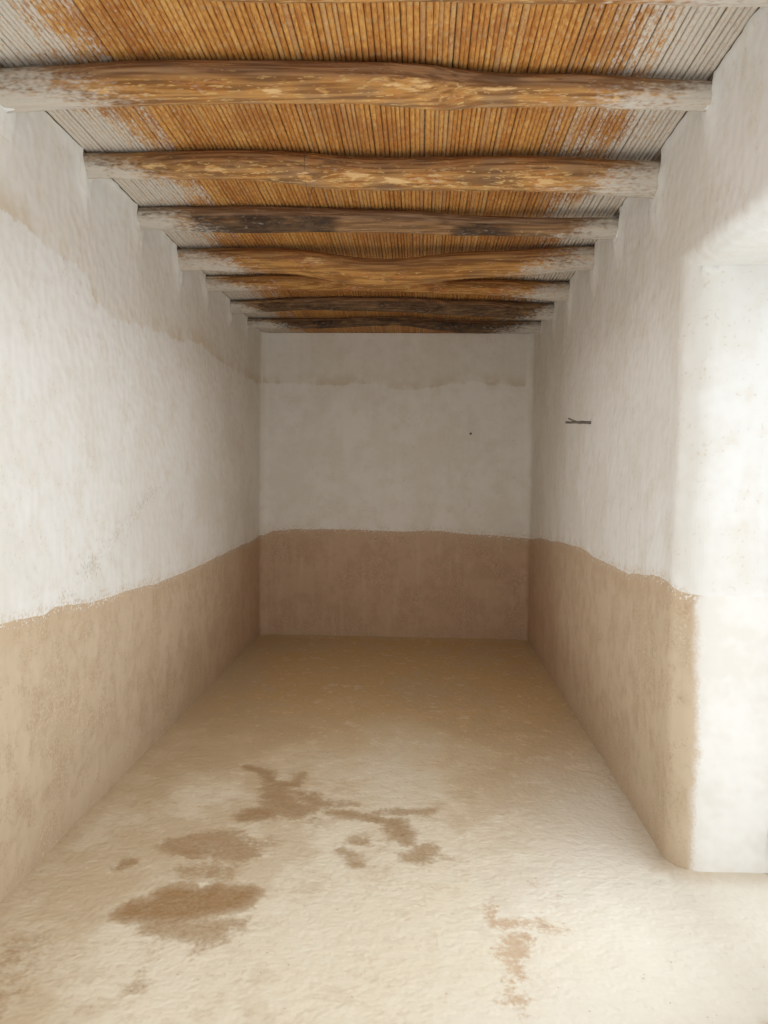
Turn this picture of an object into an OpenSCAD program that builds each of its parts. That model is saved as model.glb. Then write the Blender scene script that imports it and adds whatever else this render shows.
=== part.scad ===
// Roofed end of an adobe room: thick mud-brick walls, a doorway in the right wall,
// and a flat earth roof carried on nine rough logs with a ceiling of river canes.
// The front end is open, so that the room can be carried on from there.
// Origin: middle of the footprint, on the ground. +Y runs to the blind back wall.

/* [Room] */
// Clear width between the plastered side walls
room_w = 2300; // [2000:10:2600]
// Clear length from the back wall's face to the open front
room_l = 5800; // [5200:10:6600]
// Floor to canes, measured at the back wall
ceiling_h = 2610; // [2500:10:2900]
// Rise of the roof towards the front, in mm per metre
roof_fall = 31; // [5:1:50]
// Thickness of the beaten clay floor above the ground
floor_t = 120; // [60:5:200]

/* [Walls] */
// Thickness of a wall with its inside coat
wall_t = 450; // [380:5:600]
// Thickness of the lime or clay coat inside
coat_t = 25; // [12:1:40]
// Rounding of the two back corners outside
corner_r = 120; // [40:5:180]
// Top of the bare clay dado on the left wall, above the floor
dado_left_h = 890; // [700:5:1200]
// Top of the dado on the back wall
dado_back_h = 920; // [700:5:1200]
// Top of the dado on the right wall
dado_right_h = 1020; // [700:5:1200]

/* [Doorway] */
// Clear width of the doorway
door_w = 850; // [700:5:1000]
// Clear height of the doorway above the floor
door_h = 2190; // [1850:5:2300]
// Length of wall between the doorway and the open front
pier_l = 860; // [450:5:1000]
// Rounding of the upright edges of the doorway
jamb_r = 110; // [50:5:150]
// Rounding of the edges under the head
head_r = 60; // [30:5:90]
// Height of the hewn lintel timbers
lintel_h = 90; // [70:5:130]
// Width of one lintel timber
lintel_w = 115; // [80:5:120]
// Length of lintel that bears on the wall at each side
lintel_bearing = 200; // [120:5:300]

/* [Logs] */
// Height of the course of wall that holds the log ends
course_h = 165; // [155:1:240]
// Length of log inside each wall
log_bearing = 300; // [200:5:340]
// Distance from the back wall's face to the middle of the rearmost log
first_log = 530; // [350:5:650]
// Distance from the open front to the middle of the foremost log
last_log = 180; // [130:5:260]
// Facets around a log
log_sides = 20; // [16:2:24]
// Rings along the clear span of a log
log_rings = 20; // [12:1:26]
// Length of the swelling at a knot
knot_l = 220; // [120:10:400]
// How far a log wanders from its straight line
log_wander = 9; // [0:1:20]

/* [Ceiling] */
// Distance from cane to cane
cane_pitch = 17.5; // [16:0.5:30]
// Diameter of the thickest cane
cane_d = 17; // [12:0.5:17]
// How much thinner the thinnest cane is
cane_d_loss = 3; // [0:0.5:5]
// Length of cane that lies on the back wall
cane_bearing = 200; // [100:5:300]
// Thickness of the straw packed over the canes
straw_t = 35; // [20:5:80]
// Thickness of the earth over the straw
earth_t = 165; // [100:5:300]

/* [Pegs] */
// Diameter of a wooden wall peg
peg_d = 20; // [12:1:30]
// Length of a peg in front of the wall
peg_out = 140; // [60:5:180]
// Length of a peg inside the wall
peg_in = 90; // [50:5:150]
// Height of the side wall's peg above the floor
side_peg_h = 1730; // [1400:5:1900]
// Distance of the side wall's peg from the back wall
side_peg_back = 2470; // [600:5:3200]
// Height of the back wall's peg above the floor
back_peg_h = 1770; // [1400:5:1900]
// Distance of the back wall's peg from the middle of the room, to the right
back_peg_x = 640; // [0:5:900]

/* [Hidden] */

$fn = 48;
seat = 0.3;    // gap where round or rough pieces rest on each other
eps = 1;       // how far a cutter runs past the face that it cuts
far = 20000;   // longer than anything in the house

// Colours as they show under soft daylight
adobe_colour = [0.62, 0.50, 0.37];
clay_colour = [0.70, 0.58, 0.44];
lime_colour = [0.90, 0.88, 0.84];
floor_colour = [0.78, 0.70, 0.58];
log_colour = [0.50, 0.36, 0.21];
cane_colour = [0.72, 0.46, 0.20];
straw_colour = [0.66, 0.56, 0.34];
earth_colour = [0.60, 0.47, 0.34];
timber_colour = [0.46, 0.36, 0.26];
peg_colour = [0.42, 0.40, 0.37];

// Plan lines
half_w = room_w / 2;
core_x = half_w + coat_t;
out_x = half_w + wall_t;
front_y = -(room_l + wall_t) / 2;
back_y = front_y + room_l;
core_back_y = back_y + coat_t;
out_back_y = back_y + wall_t;
near_jamb_y = front_y + pier_l;
far_jamb_y = near_jamb_y + door_w;

// Heights and the roof's slope
roof_angle = atan(roof_fall / 1000);
head_z = floor_t + door_h;
function cane_z(y) = floor_t + ceiling_h + (back_y - y) * roof_fall / 1000;

// The logs, from the back wall to the open front. Each row holds
// [shift to the front at even stations from the left wall to the right],
// [diameters at the same stations],
// [how far the top hangs below the canes at the same stations],
// [place of a knot along the log, its swelling as a share of the radius].
LOGS = [
    [[60, 70, 120, 10, -30], [84, 78, 68, 100, 88], [0, 2, 0, 4, 0], [250, 0.08]],
    [[10, 90, 110, 40, -70], [90, 84, 100, 112, 118], [0, 0, 0, 0, 0], [-300, 0.08]],
    [[30, 55, 15, -50, -105], [92, 96, 88, 94, 126], [0, 0, 2, 2, 0], [700, 0.06]],
    [[-20, 5, -20, -10, 20], [122, 141, 154, 140, 129], [3, 4, 58, 24, 0], [-250, 0.05]],
    [[0, 12, -38, -70, -65], [100, 118, 102, 92, 98], [0, 0, 4, 22, 30], [-960, 0.18]],
    [[0, 22, -42, -20, -62], [98, 115, 129, 138, 141], [0, 2, 8, 8, 22], [-230, 0.10]],
    [[33, 48, 48, -42, -80], [130, 127, 120, 95, 90], [8, 0, 0, 4, 12], [215, 0.18]],
    [[45, 23, -25, -73, -95], [122, 130, 128, 120, 116], [4, 6, 8, 6, 4], [-500, 0.08]],
    [[0, 0, 0, 0, 0], [120, 132, 134, 130, 126], [2, 4, 6, 4, 2], [350, 0.10]]
];
log_pitch = (room_l - first_log - last_log) / (len(LOGS) - 1);
function end_value(v, side) = v[side * (len(v) - 1)];
function log_line(i) = back_y - first_log - i * log_pitch;
function log_y(i, side) = log_line(i) - end_value(LOGS[i][0], side);
function log_r(i, side) = end_value(LOGS[i][1], side) / 2;
function log_drop(i, side) = end_value(LOGS[i][2], side);

// Even step from 0 to 1
function smooth(t) = t * t * (3 - 2 * t);
// Value at t (0 to 1) along evenly spaced values, eased from each to the next
function along(v, t) =
    let (s = t * (len(v) - 1), k = min(floor(s), len(v) - 2))
    v[k] + (v[k + 1] - v[k]) * smooth(s - k);
// 0 in the walls, 1 over most of the clear span
function span_fade(t) = min(1, 4 * sin(180 * t));
// Steady value from -1 to 1 for the nth piece
function odd_value(n) = sin(n * 137.5 + 40 * sin(n * 71));

module roof_slope() {
    translate([0, back_y, cane_z(back_y)]) rotate([-roof_angle, 0, 0]) children();
}

// Everything above the canes' underside shifted by dz
module above_roof(dz) {
    roof_slope() translate([-far / 2, -far / 2, dz]) cube([far, far, far / 2]);
}

// Everything between two levels of the roof's slope
module roof_band(low, high) {
    roof_slope() translate([-far / 2, -far / 2, low]) cube([far, far, high - low]);
}

// Outline of a wall end, w thick and l long from its end, with both edges rounded
module rounded_end(w, l, r) {
    translate([r, 0]) square([w - 2 * r, l]);
    translate([0, r]) square([w, l - r]);
    translate([r, r]) circle(r);
    translate([w - r, r]) circle(r);
}

// The coat on the room side of a wall end and round its edge, as far as the outer rounding
bare_edge = max(jamb_r, head_r);
module end_coat(w, l, r) {
    difference() {
        intersection() {
            rounded_end(w, l, r);
            translate([-eps, -eps]) square([w - bare_edge + eps, l + 2 * eps]);
        }
        translate([coat_t + r, coat_t]) square([w, l]);
        translate([coat_t, coat_t + r]) square([w, l]);
        translate([coat_t + r, coat_t + r]) circle(r);
    }
}

// What is left of the wall end inside its coat
module end_core(w, l, r) {
    difference() {
        rounded_end(w, l, r);
        end_coat(w, l, r);
    }
}

// Places a wall-end outline at the far jamb, or mirrored at the near jamb
module at_far_jamb() {
    translate([half_w, far_jamb_y]) children();
}
module at_near_jamb() {
    translate([half_w, near_jamb_y]) mirror([0, 1]) children();
}

// Outline of the whole footprint
module footprint() {
    translate([-out_x, front_y]) square([2 * out_x, room_l + wall_t - corner_r]);
    translate([-out_x + corner_r, front_y]) square([2 * (out_x - corner_r), room_l + wall_t]);
    for (side = [-1, 1])
        translate([side * (out_x - corner_r), out_back_y - corner_r]) circle(corner_r);
}

// Beaten clay floor, with a threshold through the doorway
module floor_plan() {
    difference() {
        union() {
            translate([-core_x, front_y]) square([2 * core_x, core_back_y - front_y]);
            translate([half_w, near_jamb_y]) square([wall_t, door_w]);
            translate([half_w, near_jamb_y - jamb_r - coat_t])
                square([wall_t - jamb_r, door_w + 2 * (jamb_r + coat_t)]);
        }
        at_far_jamb() end_core(wall_t, core_back_y - far_jamb_y, jamb_r);
        at_near_jamb() end_core(wall_t, pier_l, jamb_r);
    }
}

module floor() {
    color(floor_colour) linear_extrude(floor_t) floor_plan();
}

// Side walls stop under the course that holds the log ends
module left_wall() {
    color(adobe_colour) difference() {
        translate([-out_x, front_y, 0])
            cube([wall_t - coat_t, core_back_y - front_y, far / 4]);
        above_roof(-course_h);
    }
}

module back_wall() {
    color(adobe_colour) difference() {
        linear_extrude(far / 4) intersection() {
            footprint();
            translate([-far / 2, core_back_y]) square([far, far]);
        }
        above_roof(0);
        back_peg_hole();
    }
}

lintel_room = 3 * lintel_w + 4 * seat;
lintel_z = head_z + coat_t;
lintel_x = half_w + coat_t + (wall_t - coat_t - lintel_room) / 2;

// Seat for the lintel timbers, from jamb to jamb and into the wall at each side
module lintel_seat() {
    translate([lintel_x, near_jamb_y - lintel_bearing - coat_t - seat, lintel_z])
        cube([lintel_room, door_w + 2 * (lintel_bearing + coat_t + seat), lintel_h]);
}

// Section through the head of the doorway, drawn in X and Z and laid along Y
module along_head(from, to) {
    translate([half_w, to, head_z]) rotate([90, 0, 0]) linear_extrude(to - from) children();
}

// The head's section carried on into the wall behind or before the doorway,
// where it squares off the rounded end above the head
head_run = jamb_r + coat_t;
module head_behind() {
    along_head(far_jamb_y, far_jamb_y + head_run) children();
}
module head_before() {
    along_head(near_jamb_y - head_run, near_jamb_y) children();
}

module rear_core() {
    linear_extrude(far / 4) at_far_jamb() end_core(wall_t, core_back_y - far_jamb_y, jamb_r);
    head_behind() end_core(wall_t, far / 4, head_r);
}

module front_core() {
    linear_extrude(far / 4) at_near_jamb() end_core(wall_t, pier_l, jamb_r);
    head_before() end_core(wall_t, far / 4, head_r);
}

module right_wall_rear() {
    color(adobe_colour) difference() {
        rear_core();
        above_roof(-course_h);
        lintel_seat();
        side_peg_hole();
    }
}

module right_wall_front() {
    color(adobe_colour) difference() {
        front_core();
        above_roof(-course_h);
        lintel_seat();
    }
}

// Masonry over the doorway, resting on the lintel timbers
module wall_over_door() {
    color(adobe_colour) difference() {
        along_head(near_jamb_y, far_jamb_y) end_core(wall_t, far / 4, head_r);
        above_roof(-course_h);
        lintel_seat();
    }
}

module door_lintels() {
    color(timber_colour) for (k = [0:2])
        translate([lintel_x + seat + k * (lintel_w + seat),
                   near_jamb_y - lintel_bearing - coat_t, lintel_z])
            cube([lintel_w, door_w + 2 * (lintel_bearing + coat_t), lintel_h]);
}

// Bare clay coat on the foot of the walls
module left_dado() {
    color(clay_colour) translate([-core_x, front_y, floor_t])
        cube([coat_t, core_back_y - front_y, dado_left_h]);
}

module back_dado() {
    color(clay_colour) translate([-half_w, back_y, floor_t])
        cube([room_w, coat_t, dado_back_h]);
}

module right_rear_dado() {
    color(clay_colour) translate([0, 0, floor_t]) linear_extrude(dado_right_h)
        at_far_jamb() end_coat(wall_t, core_back_y - far_jamb_y, jamb_r);
}

module right_front_dado() {
    color(clay_colour) translate([0, 0, floor_t]) linear_extrude(dado_right_h)
        at_near_jamb() end_coat(wall_t, pier_l, jamb_r);
}

// Limewashed coat above the dado
module left_limewash() {
    color(lime_colour) difference() {
        translate([-core_x, front_y, floor_t + dado_left_h])
            cube([coat_t, core_back_y - front_y, far / 4]);
        above_roof(-course_h);
    }
}

module back_limewash() {
    color(lime_colour) difference() {
        translate([-half_w, back_y, floor_t + dado_back_h])
            cube([room_w, coat_t, far / 4]);
        above_roof(0);
        back_peg_hole();
    }
}

module right_rear_limewash() {
    color(lime_colour) difference() {
        union() {
            translate([0, 0, floor_t + dado_right_h]) linear_extrude(far / 4)
                at_far_jamb() end_coat(wall_t, core_back_y - far_jamb_y, jamb_r);
            head_behind() end_coat(wall_t, far / 4, head_r);
        }
        rear_core();
        above_roof(-course_h);
        lintel_seat();
        side_peg_hole();
    }
}

module right_front_limewash() {
    color(lime_colour) difference() {
        union() {
            translate([0, 0, floor_t + dado_right_h]) linear_extrude(far / 4)
                at_near_jamb() end_coat(wall_t, pier_l, jamb_r);
            head_before() end_coat(wall_t, far / 4, head_r);
        }
        front_core();
        above_roof(-course_h);
        lintel_seat();
    }
}

module door_head_limewash() {
    color(lime_colour) difference() {
        along_head(near_jamb_y, far_jamb_y) end_coat(wall_t, far / 4, head_r);
        above_roof(-course_h);
    }
}

// Saddle in the wall for one end of a log: round below, open above
module log_saddle(i, side) {
    r = log_r(i, side) + seat;
    y = log_y(i, side);
    z = cane_z(y) - log_drop(i, side) - log_r(i, side);
    reach = log_bearing + seat + eps;
    x = side == 0 ? -half_w - log_bearing - seat : half_w - eps;
    translate([x, y, z]) {
        rotate([0, 90, 0]) cylinder(h = reach, r = r);
        translate([0, -r, 0]) cube([reach, 2 * r, course_h]);
    }
}

// Course of wall between the log ends
module log_course(side) {
    color(lime_colour) difference() {
        intersection() {
            translate([side == 0 ? -out_x : half_w, front_y, 0])
                cube([wall_t, core_back_y - front_y, far / 4]);
            roof_band(-course_h, 0);
        }
        for (i = [0:len(LOGS) - 1]) log_saddle(i, side);
    }
}

module left_log_course() { log_course(0); }
module right_log_course() { log_course(1); }

// Radius of log i at t along its clear span and at angle a around it
function log_radius(i, t, a) =
    let (knot = LOGS[i][3], off_knot = ((t - 0.5) * room_w - knot[0]) / (knot_l / 2),
         flutes = 0.035 * sin(2 * a + 137 * i + 150 * t) + 0.025 * sin(3 * a - 61 * i + 420 * t))
    along(LOGS[i][1], t) / 2 * (1 + span_fade(t) * (flutes + knot[1] * exp(-off_knot * off_knot)));

// One ring of points. Above the canes' underside the log is hewn flat, where the canes lie
function log_ring(i, x) =
    let (t = max(0, min(1, x / room_w + 0.5)),
         bend = log_wander * span_fade(t) * sin(500 * t + 90 * i),
         y = log_line(i) - along(LOGS[i][0], t) + bend,
         z = cane_z(y) - along(LOGS[i][1], t) / 2 - along(LOGS[i][2], t))
    [for (s = [0:log_sides - 1])
        let (a = 360 * s / log_sides, r = log_radius(i, t, a), py = y + r * cos(a))
        [x, py, min(z + r * sin(a), cane_z(py) - seat)]];

function log_stations() = concat(
    [-half_w - log_bearing],
    [for (k = [0:log_rings]) -half_w + room_w * k / log_rings],
    [half_w + log_bearing]);

// A rough peeled log, round where it lies in the walls
module roof_log(i) {
    stations = log_stations();
    last = len(stations) - 1;
    points = [for (x = stations) each log_ring(i, x)];
    skin = [for (k = [0:last - 1], s = [0:log_sides - 1])
        let (a = k * log_sides + s, b = k * log_sides + (s + 1) % log_sides)
        each [[a, b, b + log_sides], [a, b + log_sides, a + log_sides]]];
    ends = [[for (s = [log_sides - 1:-1:0]) s],
            [for (s = [0:log_sides - 1]) last * log_sides + s]];
    color(log_colour) polyhedron(points, concat(skin, ends));
}

module log_1() { roof_log(0); }
module log_2() { roof_log(1); }
module log_3() { roof_log(2); }
module log_4() { roof_log(3); }
module log_5() { roof_log(4); }
module log_6() { roof_log(5); }
module log_7() { roof_log(6); }
module log_8() { roof_log(7); }
module log_9() { roof_log(8); }

// Canes side by side on the logs, from the open front to the back wall's top
cane_count = floor((room_w - 2 * seat) / cane_pitch);
cane_l = room_l / cos(roof_angle) + cane_bearing;
function cane_x(n) = (n - (cane_count - 1) / 2) * cane_pitch;
function cane_dia(n) = cane_d - cane_d_loss * (0.5 + 0.5 * odd_value(n));

// Cuts the roof's layers off flush with the open front
module front_cut() {
    translate([-far / 2, front_y - far, 0]) cube([far, far, far / 2]);
}

module cane_bed(part) {
    parts = 5;
    first = floor(cane_count * (part - 1) / parts);
    last = floor(cane_count * part / parts) - 1;
    color(cane_colour) difference() {
        roof_slope() for (n = [first:last])
            translate([cane_x(n), cane_bearing, cane_dia(n) / 2])
                rotate([90, 0, 0]) cylinder(h = cane_l + cane_d, r = cane_dia(n) / 2, $fn = 16);
        front_cut();
    }
}

module canes_1() { cane_bed(1); }
module canes_2() { cane_bed(2); }
module canes_3() { cane_bed(3); }
module canes_4() { cane_bed(4); }
module canes_5() { cane_bed(5); }

// Space that the canes and the straw take up under the earth
module ceiling_bed(low, high, gap) {
    roof_slope() translate([-half_w - gap, -far + cane_bearing + gap, low])
        cube([room_w + 2 * gap, far, high - low]);
}

module straw_layer() {
    color(straw_colour) difference() {
        ceiling_bed(cane_d, cane_d + straw_t, 0);
        front_cut();
    }
}

// Packed earth over the straw and over the walls
module earth_roof() {
    color(earth_colour) difference() {
        intersection() {
            linear_extrude(far / 4) footprint();
            roof_band(0, cane_d + straw_t + earth_t);
        }
        ceiling_bed(-eps, cane_d + straw_t, seat);
    }
}

// Wooden pegs driven into the walls
module side_peg_at(gap) {
    translate([half_w + peg_in + gap, back_y - side_peg_back, floor_t + side_peg_h])
        rotate([0, -90, 0]) children();
}
module back_peg_at(gap) {
    translate([back_peg_x, back_y + peg_in + gap, floor_t + back_peg_h])
        rotate([90, 0, 0]) children();
}
module side_peg_hole() {
    side_peg_at(seat) cylinder(h = peg_in + seat + eps, r = peg_d / 2 + seat);
}
module back_peg_hole() {
    back_peg_at(seat) cylinder(h = peg_in + seat + eps, r = peg_d / 2 + seat);
}
module side_peg() {
    color(peg_colour) side_peg_at(0) cylinder(h = peg_in + peg_out, r = peg_d / 2);
}
module back_peg() {
    color(peg_colour) back_peg_at(0) cylinder(h = peg_in + peg_out / 2, r = peg_d / 2);
}

floor();
left_wall();
back_wall();
right_wall_rear();
right_wall_front();
wall_over_door();
door_lintels();
left_dado();
left_limewash();
back_dado();
back_limewash();
right_rear_dado();
right_rear_limewash();
right_front_dado();
right_front_limewash();
door_head_limewash();
left_log_course();
right_log_course();
log_1();
log_2();
log_3();
log_4();
log_5();
log_6();
log_7();
log_8();
log_9();
canes_1();
canes_2();
canes_3();
canes_4();
canes_5();
straw_layer();
earth_roof();
side_peg();
back_peg();
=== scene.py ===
import bmesh
import bpy
import math
import random
from mathutils import Matrix, Vector, noise


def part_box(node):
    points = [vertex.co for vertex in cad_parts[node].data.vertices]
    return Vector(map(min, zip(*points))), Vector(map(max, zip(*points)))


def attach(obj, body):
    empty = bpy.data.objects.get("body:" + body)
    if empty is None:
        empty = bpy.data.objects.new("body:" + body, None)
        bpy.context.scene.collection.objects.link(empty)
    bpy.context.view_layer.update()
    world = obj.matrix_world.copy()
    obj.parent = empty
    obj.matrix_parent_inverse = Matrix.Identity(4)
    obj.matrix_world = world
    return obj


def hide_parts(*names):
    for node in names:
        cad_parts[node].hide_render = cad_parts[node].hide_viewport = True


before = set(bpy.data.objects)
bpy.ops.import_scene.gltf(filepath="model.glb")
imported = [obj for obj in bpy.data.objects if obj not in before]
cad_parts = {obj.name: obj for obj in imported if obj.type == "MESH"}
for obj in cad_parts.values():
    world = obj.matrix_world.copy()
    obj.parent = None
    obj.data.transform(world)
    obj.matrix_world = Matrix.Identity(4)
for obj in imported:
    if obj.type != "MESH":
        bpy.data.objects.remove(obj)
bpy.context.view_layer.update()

# FLOOR
# Clay laid wet over rammed earth, trodden and rubbed smooth by hand, with a low fillet at the
# foot of each wall. Spilt water has soaked in near the front, and drips by the doorway have
# dried to brownish rings.
# Its colour is also painted: paler in a pool by the doorway, as daylight, and darker deeper in, as
# shade.

front_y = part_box("floor")[0].y
floor_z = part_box("floor")[1].z
half_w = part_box("back_dado")[1].x
back_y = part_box("back_dado")[0].y
near_jamb_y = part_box("right_front_dado")[1].y
far_jamb_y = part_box("right_rear_dado")[0].y
X, Y, Z = Vector((1, 0, 0)), Vector((0, 1, 0)), Vector((0, 0, 1))


def node_shell(node):
    """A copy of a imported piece, its loose triangles merged into whole flat faces."""
    shell = bmesh.new()
    shell.from_mesh(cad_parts[node].data)
    bmesh.ops.remove_doubles(shell, verts=shell.verts, dist=2e-5)
    bmesh.ops.dissolve_limit(shell, angle_limit=0.002, verts=shell.verts, edges=shell.edges)
    return shell


def grid_places(low, high, cell):
    """Places on one grid that every piece shares, so that neighbours are cut alike."""
    return [k * cell for k in range(math.ceil(low / cell + 0.02), math.floor(high / cell - 0.02) + 1)]


def cut_faces(shell, faces, axis, places):
    """Cuts faces across an axis at each place, and returns the smaller faces."""
    if not places or not faces:
        return faces
    middle = len(places) // 2
    edges = {edge for face in faces for edge in face.edges}
    cut = bmesh.ops.bisect_plane(shell, geom=faces + list(edges), dist=1e-6,
                                 plane_co=axis * places[middle], plane_no=axis)
    parts = [part for part in cut["geom"] if isinstance(part, bmesh.types.BMFace)]
    sides = [face.calc_center_median().dot(axis) < places[middle] for face in parts]
    below = [face for face, is_below in zip(parts, sides) if is_below]
    above = [face for face, is_below in zip(parts, sides) if not is_below]
    return (cut_faces(shell, below, axis, places[:middle])
            + cut_faces(shell, above, axis, places[middle + 1:]))


def cut_small(shell, faces, box, cell, axes=(X, Y, Z)):
    """Cuts faces on the shared grid, across each of the axes."""
    for axis in axes:
        faces = cut_faces(shell, faces, axis, grid_places(box[0].dot(axis), box[1].dot(axis), cell))
    return faces


def ripple(x, y, z):
    """Smooth noise at a point, from about -1 to 1."""
    return noise.noise(Vector((x, y, z)))


def smooth_step(low, high, value):
    """0 below low, 1 above high, and an even curve between."""
    t = max(0.0, min(1.0, (value - low) / (high - low)))
    return t * t * (3 - 2 * t)


def set_on_points(shell, name, rule):
    """Keeps a number on every vertex, for the material to read."""
    layer = shell.verts.layers.float.new(name)
    for vert in shell.verts:
        vert[layer] = rule(vert.co)


def add_object(name, data):
    """Puts a mesh, wire, lamp or camera into the scene."""
    thing = bpy.data.objects.new(name, data)
    bpy.context.scene.collection.objects.link(thing)
    return thing


def add_mesh(name, shell, finishes):
    """Puts a shell with its materials into the scene."""
    mesh = bpy.data.meshes.new(name)
    shell.to_mesh(mesh)
    shell.free()
    for finish in finishes:
        mesh.materials.append(finish.material)
    return add_object(name, mesh)


def place_piece(name, shell, finishes, slot, nodes=(), crease=50):
    """Makes a finished piece of the house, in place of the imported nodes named."""
    piece = add_mesh(name, shell, finishes)
    mesh = piece.data
    mesh.polygons.foreach_set("use_smooth", [True] * len(mesh.polygons))
    mesh.set_sharp_from_angle(angle=math.radians(crease))
    if "rim" in mesh.attributes:
        rims = [Vector(point.vector) for point in mesh.attributes["rim"].data]
        shared = [rims[vert] if rims[vert].dot(face.normal) > 0.6 else Vector()
                  for face in mesh.polygons for vert in face.vertices]
        mesh.normals_split_custom_set(shared)
        mesh.attributes.remove(mesh.attributes["rim"])
    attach(piece, "root")
    if nodes:
        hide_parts(*nodes)
    return piece


class Value:
    """A number that varies over a surface. Sums on it add Math nodes to its tree."""

    def __init__(self, owner, socket):
        self.owner, self.socket = owner, socket

    def math(self, operation, *others):
        inputs = dict(enumerate((self,) + others))
        return self.owner.node("Math", {"operation": operation}, inputs)

    def __add__(self, other):
        return self.math("ADD", other)

    def __sub__(self, other):
        return self.math("SUBTRACT", other)

    def __rsub__(self, other):
        return self.owner.node("Math", {"operation": "SUBTRACT"}, {0: other, 1: self})

    def __mul__(self, other):
        return self.math("MULTIPLY", other)

    __radd__, __rmul__ = __add__, __mul__

    def above(self, low, high):
        """0 below low and 1 above high; with low past high, the other way round."""
        ends = (low, high, 0.0, 1.0) if low < high else (high, low, 1.0, 0.0)
        return self.owner.node("MapRange", {"interpolation_type": "SMOOTHSTEP"},
                               {0: self, **dict(enumerate(ends, 1))})

    def either(self, other):
        return self.math("MAXIMUM", other)

    def size(self):
        return self.math("ABSOLUTE")


class Nodes:
    """A tree of shader nodes."""

    def __init__(self, tree):
        self.tree = tree

    def node(self, kind, settings={}, sockets={}, output=0):
        """Any node: its type, its settings, then the values or links of its sockets."""
        node = self.tree.nodes.new("ShaderNode" + kind)
        for name, value in settings.items():
            if name == "stops":
                ramp = node.color_ramp
                while len(ramp.elements) < len(value):
                    ramp.elements.new(1.0)
                for element, (position, colour) in zip(ramp.elements, value):
                    element.position, element.color = position, (*colour, 1.0)
            else:
                setattr(node, name, value)
        for name, value in sockets.items():
            self.feed(node.inputs[name], value)
        return Value(self, node.outputs[output])

    def feed(self, socket, value):
        if isinstance(value, Value):
            self.tree.links.new(value.socket, socket)
        elif isinstance(value, tuple) and len(value) == 3 and socket.type == "RGBA":
            socket.default_value = (*value, 1.0)
        else:
            socket.default_value = value


class Finish(Nodes):
    """A material of the house, built up from texture and maths nodes."""

    def __init__(self, name, roughness=0.92):
        self.material = bpy.data.materials.new(name)
        self.material.use_nodes = True
        super().__init__(self.material.node_tree)
        self.shader = self.tree.nodes["Principled BSDF"].inputs
        self.shader["Roughness"].default_value = roughness
        self.shader["Specular IOR Level"].default_value = 0.25
        self.place = self.node("TexCoord", output="Object")

    def stretched(self, along):
        """The place on the piece, scaled along each axis, for grain and streaks."""
        return self.node("VectorMath", {"operation": "MULTIPLY"}, {0: self.place, 1: along})

    def noise(self, scale, detail=3.0, rough=0.5, along=None):
        place = self.stretched(along) if along else self.place
        sockets = {"Vector": place, "Scale": scale, "Detail": detail, "Roughness": rough}
        return self.node("TexNoise", {}, sockets)

    def cells(self, scale, feature="F1", along=None):
        place = self.stretched(along) if along else self.place
        sockets = {"Vector": place, "Scale": scale}
        return self.node("TexVoronoi", {"feature": feature}, sockets, "Distance")

    def part(self, axis):
        """One coordinate of the place on the piece, in metres."""
        return self.node("SeparateXYZ", {}, {0: self.place}, axis)

    def kept(self, name):
        """A number kept on the piece's vertices."""
        return self.node("Attribute", {"attribute_name": name}, {}, "Fac")

    def mix(self, share, first, second):
        return self.node("Mix", {"data_type": "RGBA"}, {0: share, 6: first, 7: second}, 2)

    def base(self, share, first, second):
        """Starts the colour as a mix of two."""
        self.colour = self.mix(share, first, second)

    def paint(self, share, colour):
        """Lays a colour over what is there, as far as the share says."""
        self.colour = self.mix(share, self.colour, colour)

    def set(self, height=None, depth=0.002, roughness=None, strength=1.0):
        """Feeds the shader its colour, its fine relief in metres and its roughness."""
        self.feed(self.shader["Base Color"], self.colour)
        if height is not None:
            bump = self.node("Bump", {}, {"Height": height, "Distance": depth, "Strength": strength})
            self.feed(self.shader["Normal"], bump)
        if roughness is not None:
            self.feed(self.shader["Roughness"], roughness)


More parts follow.
